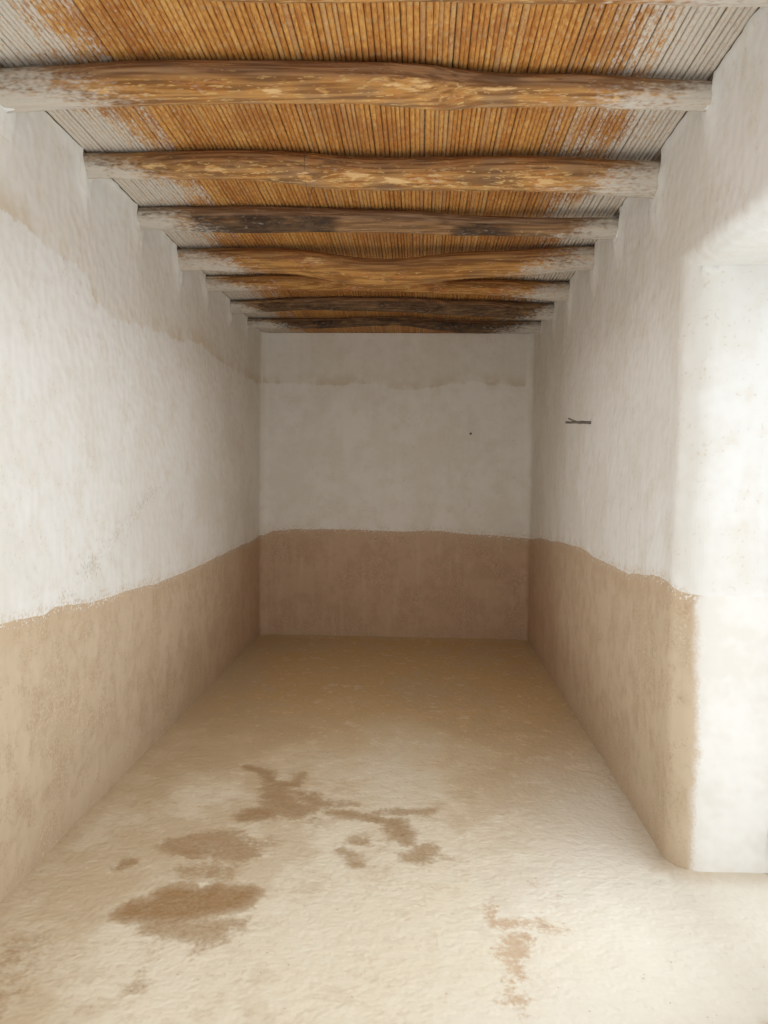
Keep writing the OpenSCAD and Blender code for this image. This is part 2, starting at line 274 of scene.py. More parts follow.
# Each stain is a chain of points (x, y, half its width) on the floor, with its strength
WATER = [
    ([(-0.70, -1.77, 0.070), (-0.56, -1.71, 0.135), (-0.40, -1.67, 0.085)], 1.0),
    ([(-0.62, -1.86, 0.050), (-0.47, -1.87, 0.070), (-0.36, -1.83, 0.050)], 0.62),
    ([(-0.40, -1.90, 0.035), (-0.45, -2.01, 0.012)], 0.62),
    ([(-0.55, -2.02, 0.030), (-0.56, -2.16, 0.040)], 0.38),
    ([(-0.70, -1.29, 0.085), (-0.55, -1.26, 0.120), (-0.44, -1.33, 0.100)], 0.58),
    ([(-0.40, -1.27, 0.050), (-0.33, -1.26, 0.030)], 0.55),
    ([(-0.68, -1.34, 0.030), (-0.60, -1.35, 0.050), (-0.54, -1.36, 0.030)], 0.85),
    ([(-0.58, -1.48, 0.080), (-0.46, -1.50, 0.060)], 0.46),
    ([(-0.44, -0.70, 0.050), (-0.38, -0.85, 0.095), (-0.30, -0.93, 0.100)], 0.66),
    ([(-0.60, -0.46, 0.020), (-0.50, -0.52, 0.026), (-0.46, -0.62, 0.035)], 0.80),
    ([(-0.33, -0.53, 0.012), (-0.34, -0.64, 0.040), (-0.40, -0.66, 0.040)], 0.78),
    ([(-0.49, -1.03, 0.045), (-0.42, -0.98, 0.060)], 0.86),
    ([(-0.27, -0.78, 0.060), (-0.17, -0.86, 0.050), (-0.04, -0.86, 0.008)], 0.62),
    ([(-0.14, -0.95, 0.026), (-0.02, -0.97, 0.028), (0.09, -1.00, 0.045)], 0.84),
    ([(0.06, -0.93, 0.030), (0.18, -0.90, 0.045), (0.28, -0.91, 0.025)], 0.64),
    ([(0.13, -1.02, 0.060), (0.17, -1.12, 0.055), (0.19, -1.20, 0.035)], 0.80),
    ([(-0.02, -1.22, 0.028), (0.05, -1.21, 0.040), (0.10, -1.24, 0.018)], 0.56),
    ([(-0.07, -1.29, 0.028), (-0.01, -1.33, 0.035), (0.00, -1.41, 0.032)], 0.62),
    ([(0.19, -1.34, 0.032), (0.24, -1.33, 0.045), (0.27, -1.25, 0.035)], 0.70),
    ([(0.31, -1.30, 0.010), (0.36, -1.33, 0.018), (0.43, -1.34, 0.010)], 0.55),
    ([(-0.87, -1.48, 0.020), (-0.83, -1.45, 0.020)], 0.90),
    ([(-1.05, -2.35, 0.200), (-0.95, -2.00, 0.100)], 0.30),
    ([(-0.62, -1.58, 0.060), (-0.52, -1.54, 0.120), (-0.42, -1.57, 0.060)], 0.26),
    ([(-0.36, -0.95, 0.110), (-0.22, -1.02, 0.060)], 0.34),
]
RUST = [
    ([(0.46, -1.65, 0.010), (0.48, -1.74, 0.024), (0.50, -1.79, 0.028)], 0.8),
    ([(0.50, -1.78, 0.030), (0.60, -1.76, 0.034)], 0.9),
    ([(0.62, -1.68, 0.030), (0.64, -1.79, 0.040), (0.72, -1.80, 0.022)], 0.75),
    ([(0.66, -1.50, 0.035), (0.70, -1.57, 0.035)], 0.42),
    ([(0.54, -1.85, 0.045), (0.53, -1.95, 0.045), (0.52, -2.03, 0.030)], 0.95),
    ([(0.50, -2.06, 0.018), (0.49, -2.17, 0.040)], 0.85),
]
STAIN_FADE = 0.055


def chain_distance(point, chain):
    """Distance from a tapering chain's edge, less than nothing inside it."""
    nearest = 9.0
    for (ax, ay, ar), (bx, by, br) in zip(chain, chain[1:]):
        dx, dy = bx - ax, by - ay
        t = max(0.0, min(1.0, ((point.x - ax) * dx + (point.y - ay) * dy) / (dx * dx + dy * dy)))
        away = math.hypot(point.x - ax - t * dx, point.y - ay - t * dy)
        nearest = min(nearest, away - ar - (br - ar) * t)
    return nearest


def stain_depth(stains):
    """A rule for how strong the stains are at a point, faded over their ragged edges."""
    def rule(co):
        if co.y > 0.0:
            return 0.0
        lobes = ripple(co.x * 9, co.y * 9, 1.0) * 0.022
        lobes += ripple(co.x * 24, co.y * 24, 6.0) * 0.010
        point = Vector((co.x, co.y + lobes, 0))
        depths = [strength * smooth_step(STAIN_FADE, -STAIN_FADE, chain_distance(point, chain) + lobes)
                  for chain, strength in stains
                  if abs(co.x - chain[0][0]) < 0.5 and abs(co.y - chain[0][1]) < 0.5]
        return max(depths, default=0.0)
    return rule


FOOT_FILLET = 0.09
FLOOR_CELL = 0.021


def wall_gap(co):
    """Distance along the floor to the nearest wall's face."""
    beside_door = near_jamb_y < co.y < far_jamb_y
    right = 9.0 if beside_door else half_w - co.x
    jambs = min(abs(co.y - near_jamb_y), abs(co.y - far_jamb_y)) if co.x > half_w else 9.0
    return max(0.0, min(half_w + co.x, right, back_y - co.y, jambs))


def trodden(co):
    """How far the floor's surface stands above or below its level, and nothing at the cut front."""
    broad = ripple(co.x * 1.6, co.y * 1.6, 0.3)
    small = ripple(co.x * 6.5, co.y * 6.5, 4.1)
    dents = abs(ripple(co.x * 13, co.y * 13, 7.7))
    near_wall = 1 - smooth_step(0.02, 0.25, wall_gap(co))
    fillet = max(0.0, 1 - wall_gap(co) / FOOT_FILLET) ** 2
    worn = 0.0050 * broad + 0.0026 * small - 0.0018 * dents
    lift = worn * (1 - 0.85 * near_wall) + 0.0016 * near_wall + 0.020 * fillet
    return lift * smooth_step(front_y, front_y + 0.05, co.y)


def floor_tone(co):
    """How dark the trodden floor is at a point, from 0 to 1, in soft overlapping patches."""
    broad = ripple(co.x * 1.3 + 4, co.y * 1.0, 2.5)
    middle = ripple(co.x * 3.7, co.y * 2.6, 9.5)
    small = ripple(co.x * 9.5, co.y * 7.5, 3.5)
    return 0.5 + 0.62 * broad + 0.38 * middle + 0.24 * small


clay_floor = Finish("clay_floor")
tone = clay_floor.kept("tone")
blotches = clay_floor.noise(12, 2, 0.70)
dust = clay_floor.noise(62, 1, 0.7)
# Painted shade: the floor is painted darker and browner deeper into the room, where the light from the
# openings falls off.
shade_deeper_in = (clay_floor.part("Y") + (tone - 0.5) * 0.9).above(-1.6, 1.0)
clay_floor.base(shade_deeper_in, (0.790, 0.725, 0.580), (0.600, 0.400, 0.190))
clay_floor.paint((tone + (blotches - 0.5) * 0.9).above(0.40, 0.85) * 0.42, (0.56, 0.430, 0.280))
clay_floor.paint((blotches * 0.8 + dust * 0.3).above(0.56, 0.68) * 0.28, (0.62, 0.510, 0.370))
clay_floor.paint((blotches * 0.8 + dust * 0.3).above(0.50, 0.38) * 0.30, (0.85, 0.80, 0.69))
# The floor is darker towards the left wall.
darker_to_left = ((tone - 0.5) * 0.7 - clay_floor.part("X")).above(0.55, 1.25)
clay_floor.paint(darker_to_left * 0.50, (0.540, 0.410, 0.255))
# Painted light: a pale pool on the floor near the doorway, where daylight falls through it.
door_light_pool = (clay_floor.part("X") - clay_floor.part("Y") * 0.5 + (tone - 0.5) * 0.5).above(0.9, 1.9)
clay_floor.paint(door_light_pool * 0.75, (0.850, 0.830, 0.755))
# The floor is darker close to the foot of each wall.
darker_by_walls = clay_floor.kept("foot") * (0.30 + blotches * 0.4)
clay_floor.paint(darker_by_walls, (0.46, 0.340, 0.210))
wet = clay_floor.kept("water")
ragged = wet + (blotches - 0.5) * 0.70 + (dust - 0.5) * 0.40
soaked = ragged.above(0.10, 0.52) * wet.above(0.0, 0.16)
clay_floor.paint(soaked * (wet * 0.60 + 0.30 + (dust - 0.5) * 0.4), (0.350, 0.210, 0.090))
rust = clay_floor.kept("rust")
dripped = (rust + (blotches - 0.5) * 1.1 + (dust - 0.5) * 1.1).above(0.28, 0.85)
dripped = dripped * rust.above(0.02, 0.20)
clay_floor.paint(dripped * 0.62, (0.53, 0.335, 0.185))
crumbs = dust.above(0.735, 0.77) * blotches.above(0.44, 0.58)
clay_floor.paint(crumbs * 0.55, (0.38, 0.28, 0.185))
height = clay_floor.noise(30, 1, 0.70)
clay_floor.set(height, 0.010, 0.95 - soaked * 0.20, strength=0.7)

shell = node_shell("floor")
seen = [face for face in shell.faces if face.normal.z > 0.9 or face.normal.y < -0.9]
seen = cut_small(shell, seen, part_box("floor"), FLOOR_CELL, [X])
top = [face for face in seen if face.normal.z > 0.9]
top = cut_small(shell, top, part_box("floor"), FLOOR_CELL, [Y])
for vert in {vert for face in top for vert in face.verts}:
    vert.co.z += trodden(vert.co)
set_on_points(shell, "water", stain_depth(WATER))
set_on_points(shell, "rust", stain_depth(RUST))
set_on_points(shell, "tone", floor_tone)
set_on_points(shell, "foot", lambda co: 1 - smooth_step(0.0, 0.10, wall_gap(co)))
place_piece("beaten_floor", shell, [clay_floor], "clay_floor", ["floor"])


# WALLS
# Sun-dried bricks of clay and straw in clay mortar, rendered outside with a thick coat of mud
# and chopped straw. The open front end shows the bonded ends of the bricks.

RENDER_CELL = 0.06
RIM_STEP = 0.01
out_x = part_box("left_wall")[0].x
out_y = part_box("back_wall")[1].y
head_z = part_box("door_head_limewash")[0].z


def hand_smoothed(co):
    """How far a wall's face stands proud of its true plane. Every coat shares it, so joints meet."""
    broad = noise.noise(co * 1.5)
    middle = noise.noise(co * 4.7 + Vector((3, 1, 7)))
    fine = noise.noise(co * 15 + Vector((1, 8, 2)))
    outside = smooth_step(1.30, 1.50, abs(co.x)) if co.y < back_y + 0.2 else 1.0
    rough = 1 + 0.7 * outside
    return rough * (0.0068 * broad + 0.0032 * middle + 0.0010 * fine) - 0.003 * outside


def push_out(faces, rule):
    """Moves the faces' vertices along their own shared normal by a rule."""
    normals = {}
    for face in faces:
        for vert in face.verts:
            normals.setdefault(vert, Vector())
            normals[vert] += face.normal
    moves = [(vert, normal.normalized() * rule(vert.co)) for vert, normal in normals.items()]
    for vert, move in moves:
        vert.co += move


def rim_normal(co, out, rule):
    """The way a sculpted face looks at a point of its true plane, which looks outward."""
    across = out.orthogonal().normalized()
    up = out.cross(across)
    slopes = [(rule(co + way * RIM_STEP) - rule(co - way * RIM_STEP)) / (2 * RIM_STEP)
              for way in (across, up)]
    return (out - across * slopes[0] - up * slopes[1]).normalized()


def push_with_rim(shell, faces, rule):
    """Moves faces out by a rule, and keeps how their edge looks, so that no line shows at a joint."""
    layers, moved = shell.verts.layers.float_vector, set(faces)
    rim = layers.get("rim") or layers.new("rim")
    for vert in {vert for face in faces for vert in face.verts}:
        if any(face not in moved for face in vert.link_faces):
            out = sum((face.normal for face in vert.link_faces if face in moved), Vector())
            vert[rim] = rim_normal(vert.co, out.normalized(), rule)
    push_out(faces, rule)


mud_render = Finish("mud_render")
weather = mud_render.noise(1.1, 3, 0.6)
daubs = mud_render.noise(8, 3, 0.68)
sand = mud_render.noise(70, 2, 0.6)
runs = mud_render.noise(1.0, 3, 0.6, along=(7.0, 7.0, 0.6))
mud_render.base(weather.above(0.36, 0.64), (0.50, 0.37, 0.24), (0.60, 0.465, 0.315))
mud_render.paint(daubs.above(0.45, 0.68) * 0.45, (0.65, 0.52, 0.36))
mud_render.paint(runs.above(0.52, 0.70) * 0.45, (0.40, 0.285, 0.18))
mud_render.paint(sand.above(0.55, 0.7) * 0.4, (0.42, 0.30, 0.19))
straw = mud_render.cells(66, along=(0.6, 0.6, 0.20)).above(0.13, 0.04) * daubs.above(0.42, 0.56)
mud_render.paint(straw * 0.8, (0.76, 0.65, 0.42))
splashed = (mud_render.part("Z") + (daubs - 0.5) * 0.5).above(0.42, 0.05)
mud_render.paint(splashed * 0.5, (0.36, 0.26, 0.17))
crazing = mud_render.cells(4.2, "DISTANCE_TO_EDGE") + (daubs - 0.5) * 0.11
crazing = crazing.above(0.012, 0.002) * weather.above(0.54, 0.62)
mud_render.paint(crazing * 0.4, (0.30, 0.21, 0.13))
limed = mud_render.kept("limed")
limed = (limed + (daubs - 0.5) * 0.7 + (sand - 0.5) * 0.3).above(0.44, 0.56)
mud_render.paint(limed, (0.83, 0.82, 0.78))
height = mud_render.noise(10, 3, 0.66) + mud_render.noise(75, 1, 0.5) * 0.14
mud_render.set(height, 0.012)

# Bricks and joints of the open end, in metres
BRICK_H, BRICK_D, JOINT = 0.080, 0.060, 0.020
MORTAR_SUNK = 0.016
LIP = 0.004
RENDER_T = 0.025
FIRST_BED_Z = 0.012
BRICK_DRAW = random.Random(4)
core_x = -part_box("left_dado")[0].x

mortar = Finish("clay_mortar")
lumps = mortar.noise(22, 3, 0.65)
mortar.base(lumps.above(0.4, 0.65), (0.38, 0.27, 0.17), (0.52, 0.395, 0.26))
chaff = mortar.cells(80, along=(0.2, 1.0, 1.0)).above(0.10, 0.04)
mortar.paint(chaff * 0.6, (0.66, 0.55, 0.34))
mortar.set(lumps, 0.008)

brick = Finish("mud_brick")
each = brick.noise(5.3, 1, 0.5)
lumps = brick.noise(30, 3, 0.65)
brick.base(each.above(0.38, 0.62), (0.50, 0.36, 0.225), (0.63, 0.49, 0.33))
brick.paint(lumps.above(0.5, 0.7) * 0.5, (0.42, 0.30, 0.19))
chaff = brick.cells(75, along=(0.2, 1.0, 1.0)).above(0.12, 0.04)
brick.paint(chaff * 0.7, (0.74, 0.62, 0.38))
brick.set(lumps, 0.006)


def open_end(shell, side, render_slot=0):
    """Sinks the mortar of a wall's cut end behind its bricks, and leaves the render's edge."""
    end = [face for face in shell.faces
           if face.normal.y < -0.9 and face.calc_center_median().y < front_y + 0.01]
    low = min(vert.co.z for face in end for vert in face.verts) + LIP
    high = max(vert.co.z for face in end for vert in face.verts) - LIP
    end = cut_faces(shell, end, X, sorted((side * (core_x + LIP), side * (-out_x - RENDER_T))))
    end = cut_faces(shell, end, Z, [low, high])
    core = []
    for face in end:
        middle = face.calc_center_median()
        if abs(middle.x) > -out_x - RENDER_T:
            face.material_index = render_slot
        elif abs(middle.x) > core_x:
            face.material_index = 1
            if abs(middle.x) > core_x + LIP and low < middle.z < high:
                core.append(face)
    bmesh.ops.inset_region(shell, faces=core, thickness=0.0, depth=-MORTAR_SUNK)


def lay_brick(shell, low, high):
    """One brick with worn, slightly uneven sides between two corners."""
    made = bmesh.ops.create_cube(shell, size=1.0)["verts"]
    edges = list({edge for vert in made for edge in vert.link_edges})
    made = bmesh.ops.subdivide_edges(shell, edges=edges, cuts=4, use_grid_fill=True)["geom"]
    made = list({vert for part in made if isinstance(part, bmesh.types.BMEdge) for vert in part.verts})
    bmesh.ops.scale(shell, verts=made, vec=high - low)
    bmesh.ops.translate(shell, verts=made, vec=(low + high) / 2)
    bmesh.ops.smooth_vert(shell, verts=made, factor=0.6,
                          use_axis_x=True, use_axis_y=True, use_axis_z=True)
    for vert in made:
        vert.co += 0.006 * noise.noise_vector(vert.co * 16) + 0.002 * noise.noise_vector(vert.co * 70)


def lay_bricks(shell, side, low_z, high_z):
    """Courses of brick ends: by turns two side by side, and one across the wall."""
    inner, outer = core_x + 0.007, -out_x - RENDER_T - 0.003
    half = (outer - inner - JOINT) / 2
    for course in range(int((high_z - low_z) / (BRICK_H + JOINT))):
        z = low_z + course * (BRICK_H + JOINT)
        spans = [(inner, inner + half), (outer - half, outer)] if course % 2 else [(inner, outer)]
        for span in spans:
            left, right = sorted(side * end for end in span)
            proud = front_y - 0.002 + BRICK_DRAW.uniform(-0.003, 0.006)
            bed = z + BRICK_DRAW.uniform(-0.003, 0.003)
            lay_brick(shell, Vector((left, proud, bed)),
                      Vector((right, proud + BRICK_D, bed + BRICK_H)))


def faces_left(face):
    return face.normal.x < -0.9


def faces_back(face):
    return face.normal.y > 0.3 or (face.normal.y > -0.1 and abs(face.normal.x) > 0.3)


def faces_right(face):
    return face.normal.x > 0.05


def lime_splash(co):
    """Limewash brushed past the doorway's arris on to the outside render."""
    if co.x < 0 or co.y > far_jamb_y + 0.4:
        return 0.0
    beside = max(near_jamb_y - co.y, co.y - far_jamb_y, 0.0)
    return 1 - smooth_step(0.02, 0.13, max(beside, co.z - head_z, 0.0) + max(0.0, co.x - 1.52) * 0.6)


for node, is_outside in (("left_wall", faces_left), ("back_wall", faces_back),
                         ("right_wall_rear", faces_right), ("right_wall_front", faces_right),
                         ("wall_over_door", faces_right)):
    shell = node_shell(node)
    outside = [face for face in shell.faces if is_outside(face)]
    outside = cut_small(shell, outside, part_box(node), RENDER_CELL)
    push_with_rim(shell, outside, hand_smoothed)
    if node in ("left_wall", "right_wall_front"):
        open_end(shell, -1 if node == "left_wall" else 1)
    set_on_points(shell, "limed", lime_splash)
    place_piece(node + "_render", shell, [mud_render, mortar], "adobe", [node])

for name, side in (("left", -1), ("right", 1)):
    shell = bmesh.new()
    lay_bricks(shell, side, FIRST_BED_Z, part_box("left_wall")[1].z)
    place_piece(name + "_brick_ends", shell, [brick], "adobe", crease=80)


# LINTELS
# Three hewn timbers side by side over the doorway. They bear on the wall at both sides and the
# coats cover them.

timber = Finish("hewn_timber", 0.85)
grain = timber.noise(1.0, 3, 0.7, along=(60.0, 3.0, 60.0))
timber.base(grain.above(0.38, 0.64), (0.19, 0.13, 0.08), (0.42, 0.31, 0.20))
timber.set(grain, 0.003)
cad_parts["door_lintels"].data.materials[0] = timber.material


# LOGS
# Nine rough trunks, peeled and left round, laid across the room with their ends in the walls.
# Dust has greyed them above, smoke has blackened some, and flakes of paler bast still cling below.
# The limewash brush has caught their ends.

front_cane_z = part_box("left_log_course")[1].z
roof_fall = (front_cane_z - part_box("earth_roof")[0].z) / (out_y - front_y)


def under_canes(co):
    """Distance down from the canes' underside."""
    return front_cane_z - (co.y - front_y) * roof_fall - co.z


LOGS = [f"log_{number}" for number in range(1, 10)]

# How orange, how flecked with bast and how dusty each log is, and how far its ends are whitened
LOG_LOOKS = [
    (0.10, 0.00, 0.20, 0.30), (0.30, 0.00, 0.30, 0.18), (0.95, 0.60, 0.20, 0.28),
    (0.75, 0.15, 0.30, 0.34), (0.30, 0.10, 0.70, 0.26), (0.55, 1.00, 0.35, 0.25),
    (0.60, 0.55, 0.65, 0.32), (0.60, 0.40, 0.60, 0.28), (0.60, 0.35, 0.60, 0.25)]
# Where logs are blackened: from and to along them, how far up their front, and how strongly
SOOT = {
    1: [(-0.98, 1.10, 0.50, 0.74)],
    2: [(-1.02, 1.10, 0.30, 0.70)],
    5: [(-0.95, -0.12, 0.16, 0.80), (-0.20, 0.35, 0.00, 0.35), (0.28, 0.72, 0.10, 0.75)],
    6: [(-0.42, -0.28, 0.15, 0.55), (0.30, 0.52, -0.65, 0.35)]}
# Where a flake has come off and left bare wood: place along, how far up, half its length and height
BARE = {
    4: [(-0.38, 0.05, 0.05, 0.30)],
    6: [(-0.86, -0.30, 0.07, 0.16), (-0.60, -0.55, 0.05, 0.20), (-0.24, -0.70, 0.05, 0.22),
        (-0.05, -0.45, 0.08, 0.20), (0.12, -0.70, 0.07, 0.20), (0.62, -0.40, 0.03, 0.25),
        (0.70, -0.72, 0.06, 0.20)],
    7: [(-0.79, -0.70, 0.035, 0.20), (-0.66, -0.55, 0.015, 0.18), (-0.255, -0.74, 0.035, 0.22),
        (-0.10, -0.72, 0.018, 0.20), (0.085, -0.28, 0.035, 0.16), (0.175, -0.42, 0.075, 0.34),
        (0.45, -0.30, 0.08, 0.12), (0.83, -0.70, 0.015, 0.30)]}
KNOT_R = 0.024
BIG_KNOT = (0.285, -1.55, 0.010, 0.045)

log_wood = Finish("log_wood", 0.85)
grain = log_wood.noise(1.0, 1, 0.64, along=(3.0, 68.0, 68.0))
mottle = log_wood.noise(1.0, 2, 0.66, along=(5.5, 12.0, 12.0))
flake = log_wood.noise(1.0, 2, 0.74, along=(20.0, 100.0, 100.0))
speckle = log_wood.noise(1.0, 1, 0.75, along=(36.0, 96.0, 96.0))
warmth, flecked, dust = log_wood.kept("warmth"), log_wood.kept("flecked"), log_wood.kept("dust")
lift, sooty, bare = log_wood.kept("lift"), log_wood.kept("sooty"), log_wood.kept("bare")
split = grain.above(0.36, 0.64)
brown = log_wood.mix(split, (0.190, 0.105, 0.050), (0.350, 0.205, 0.100))
orange = log_wood.mix(split, (0.300, 0.130, 0.035), (0.530, 0.275, 0.080))
log_wood.base((warmth + (mottle - 0.5) * 1.6).above(0.20, 0.80), brown, orange)
log_wood.paint((mottle + split * 0.1).above(0.60, 0.74) * warmth * 0.6, (0.38, 0.115, 0.030))
dusty = (lift + (mottle - 0.5) * 0.8).above(-0.36, 0.10) * dust
log_wood.paint(dusty * 0.85, log_wood.mix(split, (0.215, 0.140, 0.088), (0.330, 0.230, 0.155)))
fleck = (flake + flecked * 0.070 - dusty * 0.10 + (mottle - 0.5) * 0.16).above(0.625, 0.690)
log_wood.paint(fleck * 0.80, (0.60, 0.400, 0.165))
peeled = (bare + (flake - 0.5) * 2.2).above(0.50, 0.95)
log_wood.paint(peeled * 0.9, log_wood.mix(split, (0.58, 0.310, 0.100), (0.72, 0.490, 0.235)))
knot = log_wood.kept("knot")
log_wood.paint(knot.above(0.30, 0.95) * 0.5, (0.185, 0.092, 0.042))
soot = (sooty + (mottle - 0.5) * 1.3 + (flake - 0.5) * 0.8).above(0.20, 1.05)
log_wood.paint(soot * sooty.above(0.02, 0.2) * 0.95, (0.046, 0.031, 0.022))
check = (grain - 0.5).size().above(0.008, 0.002) * (mottle + lift * 0.1).above(0.52, 0.60)
log_wood.paint(check * 0.7, (0.050, 0.030, 0.020))
lime = log_wood.kept("whitened") + (speckle - 0.5) * 1.5 + (mottle - 0.5) * 1.2
log_wood.paint(lime.above(0.18, 1.15) * 0.86, (0.640, 0.610, 0.545))
log_wood.set(grain, 0.006)

KNOTS = random.Random(11)


def log_knots(number):
    """The knots on a log: place along it and round it, how far each stands out, and its radius."""
    draw = KNOTS.uniform
    knots = [(draw(-0.9, 0.9), draw(-2.6, 0.2), draw(0.003, 0.007), KNOT_R) for _ in range(3)]
    return [BIG_KNOT] + knots[:1] if number == 7 else knots


def soot_at(number, x, lift):
    """How black a log is at a point of its surface."""
    found = [strength * smooth_step(0.0, 0.12, x - low) * smooth_step(0.0, 0.12, high - x)
             * (1 - smooth_step(top - 0.2, top + 0.25, lift))
             for low, high, top, strength in SOOT.get(number, [])]
    return max(found, default=0.0)


def bare_at(number, x, lift):
    """How surely a point of a log's surface has lost its flake."""
    found = [1.25 - 0.75 * math.hypot((x - place) / length, (lift - up) / height)
             for place, up, length, height in BARE.get(number, [])]
    return max(0.0, max(found, default=0.0))


def carve_log(shell, number, knots):
    """Gives a log its lengthwise ridges, knots and hollows, within the clear span."""
    layers = {name: shell.verts.layers.float.new(name)
              for name in ("warmth", "flecked", "dust", "whitened", "sooty", "bare", "lift", "knot")}
    warmth, flecked, dust, reach = LOG_LOOKS[number - 1]
    rows = {}
    for vert in shell.verts:
        rows.setdefault(round(vert.co.x, 3), []).append(vert)
    shell.normal_update()
    normals = {vert: vert.normal.copy() for vert in shell.verts}
    for x, row in rows.items():
        ys = [vert.co.y for vert in row]
        r = max(0.03, (max(ys) - min(ys)) / 2)
        middle_y = (min(ys) + max(ys)) / 2
        middle_z = min(vert.co.z for vert in row) + r
        inside = 1 - smooth_step(half_w - 0.05, half_w, abs(x))
        for vert in row:
            turn = math.atan2(vert.co.z - middle_z, vert.co.y - middle_y)
            turned = turn - math.tau if turn > 1.2 else turn
            lift = math.sin(turn)
            swell, knot = 0.0, 0.0
            for knot_x, knot_turn, knot_out, knot_r in knots:
                side = -math.pi - knot_turn if knot_turn > -math.pi / 2 else knot_turn
                away = math.hypot((x - knot_x) * 0.8, (turned - side) * r) / knot_r
                if away < 3:
                    bulge = math.exp(-away * away)
                    swell += knot_out * bulge * (1.3 - 0.6 * bulge)
                    knot = max(knot, bulge)
            grown = Vector((vert.co.x * 2.4 + number * 7, math.cos(turn) * 2.1, math.sin(turn) * 2.1))
            ridge = noise.noise(grown) * 0.0044 + noise.noise(grown * 2.3) * 0.0022
            pitted = noise.noise(vert.co * 38) * 0.0011
            vert.co += normals[vert] * inside * (ridge + pitted + swell - 0.001)
            vert.co.z += min(0.0, under_canes(vert.co) - 0.0004)
            spread = reach * (1.45 - 0.75 * lift)
            whitened = smooth_step(half_w - spread, half_w - 0.10 * spread, abs(x))
            values = (warmth, flecked, dust, (0.90 - 0.25 * lift) * whitened,
                      soot_at(number, x, lift), bare_at(number, x, lift), lift, knot)
            for name, value in zip(layers, values):
                vert[layers[name]] = value


for number, node in enumerate(LOGS, 1):
    shell = bmesh.new()
    shell.from_mesh(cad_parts[node].data)
    bmesh.ops.remove_doubles(shell, verts=shell.verts, dist=2e-5)
    bmesh.ops.subdivide_edges(shell, edges=shell.edges, cuts=4, use_grid_fill=True)
    free = [vert for vert in shell.verts if abs(vert.co.x) < half_w + 0.25]
    for _ in range(5):
        bmesh.ops.smooth_vert(shell, verts=free, factor=0.5,
                              use_axis_x=False, use_axis_y=True, use_axis_z=True)
    carve_log(shell, number, log_knots(number))
    place_piece(f"trunk_{number}", shell, [log_wood], "log_wood", [node], crease=70)


# COURSE BETWEEN THE LOG ENDS
# Once the logs lay on the walls, the gaps between them were filled with brick bits and mud up to
# the canes, and coated and limewashed with the walls below. The coat is built up round each log
# and laps on to it, and a leak has stained it down to a tide line.

COAT_CELL = 0.03
COVE_R = 0.075
COVE_MIDDLE = 0.2929
LINE_FADE = 0.35

# The tide line on two walls, as places along the wall and heights above the floor
LEFT_LEAK = [
    (-3.2, 2.33), (-1.69, 2.30), (-1.55, 2.29), (-1.38, 2.25), (-1.14, 2.26), (-1.03, 2.24),
    (-0.92, 2.16), (-0.82, 2.13), (-0.68, 2.12), (-0.39, 2.15), (0.28, 2.18), (0.71, 2.23),
    (1.08, 2.19), (1.84, 2.17), (2.70, 2.17)]
BACK_LEAK = [(-1.15, 2.19), (-0.80, 2.17), (-0.22, 2.18), (0.10, 2.13), (0.63, 2.20), (1.15, 2.17)]


def line_at(line, place):
    """Height of a line drawn through a few points, eased from each to the next."""
    for (a, low), (b, high) in zip(line, line[1:]):
        if place <= b:
            return low + (high - low) * smooth_step(a, b, place)
    return line[-1][1]


def log_axis(node):
    """Places along a log, each with the log's middle and radius there."""
    rings = {}
    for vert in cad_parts[node].data.vertices:
        rings.setdefault(round(vert.co.x, 3), []).append(vert.co)
    axis = []
    for x, ring in sorted(rings.items()):
        ys = [co.y for co in ring]
        r = (max(ys) - min(ys)) / 2
        axis.append((x, min(ys) + r, min(co.z for co in ring) + r, r))
    return axis


def axis_at(axis, x):
    """The log's middle (y, z) and radius at a place along it."""
    for near, far in zip(axis, axis[1:]):
        if x <= far[0]:
            share = max(0.0, (x - near[0]) / (far[0] - near[0]))
            return [a + (b - a) * share for a, b in zip(near[1:], far[1:])]
    return list(axis[-1][1:])


AXES = {node: log_axis(node) for node in LOGS}
HOLES = {side: [axis_at(AXES[node], side * half_w) for node in LOGS] for side in (-1, 1)}


def collar(co):
    """How far the coat is built up round the logs, most of all under them."""
    if abs(co.x) > half_w + 0.01 or under_canes(co) > 0.35:
        return 0.0
    holes = HOLES[1 if co.x > 0 else -1]
    away = min(math.hypot(co.y - y, (co.z - z) * (0.55 if co.z < z else 1.0)) - r for y, z, r in holes)
    lip = 0.5 + 0.5 * ripple(co.y * 21, co.z * 21, co.x)
    return (0.005 + 0.017 * lip) * (1 - smooth_step(-0.005, 0.055, away))


def cove(co):
    """How far the coat is built out in the rounded corner at either end of the back wall."""
    across = min(half_w - abs(co.x), back_y - co.y)
    depth = max(half_w - abs(co.x), back_y - co.y, COVE_MIDDLE * COVE_R)
    if depth >= COVE_R or across > 0.01:
        return 0.0
    return COVE_R - math.sqrt(COVE_R ** 2 - (COVE_R - depth) ** 2)


def rubbed_face(co):
    """The finished face of the coat inside, as a distance in front of its true plane."""
    down = under_canes(co)
    bead = (0.008 + 0.009 * ripple(co.x * 9, co.y * 15, 3)) * (1 - smooth_step(0.0, 0.035, down))
    return hand_smoothed(co) * smooth_step(0.0, 0.05, down) + collar(co) + cove(co) + bead


COVE_CUTS = [COVE_R * share for share in (COVE_MIDDLE, 0.5, 0.741, 1.0)]
PLACES_X = sorted(grid_places(-half_w, half_w + 0.45, COAT_CELL)
                  + [side * (half_w - d) for side in (-1, 1) for d in COVE_CUTS])
PLACES_Y = sorted(grid_places(front_y, back_y, COAT_CELL) + [back_y - d for d in COVE_CUTS])
PLACES_Z = sorted(grid_places(floor_z, front_cane_z, COAT_CELL) + [floor_z + 0.01])


def at_cove_middle(co):
    """Whether a point is where the rounded corner's two halves meet."""
    return abs(max(half_w - abs(co.x), back_y - co.y) - COVE_CUTS[0]) < 1e-4


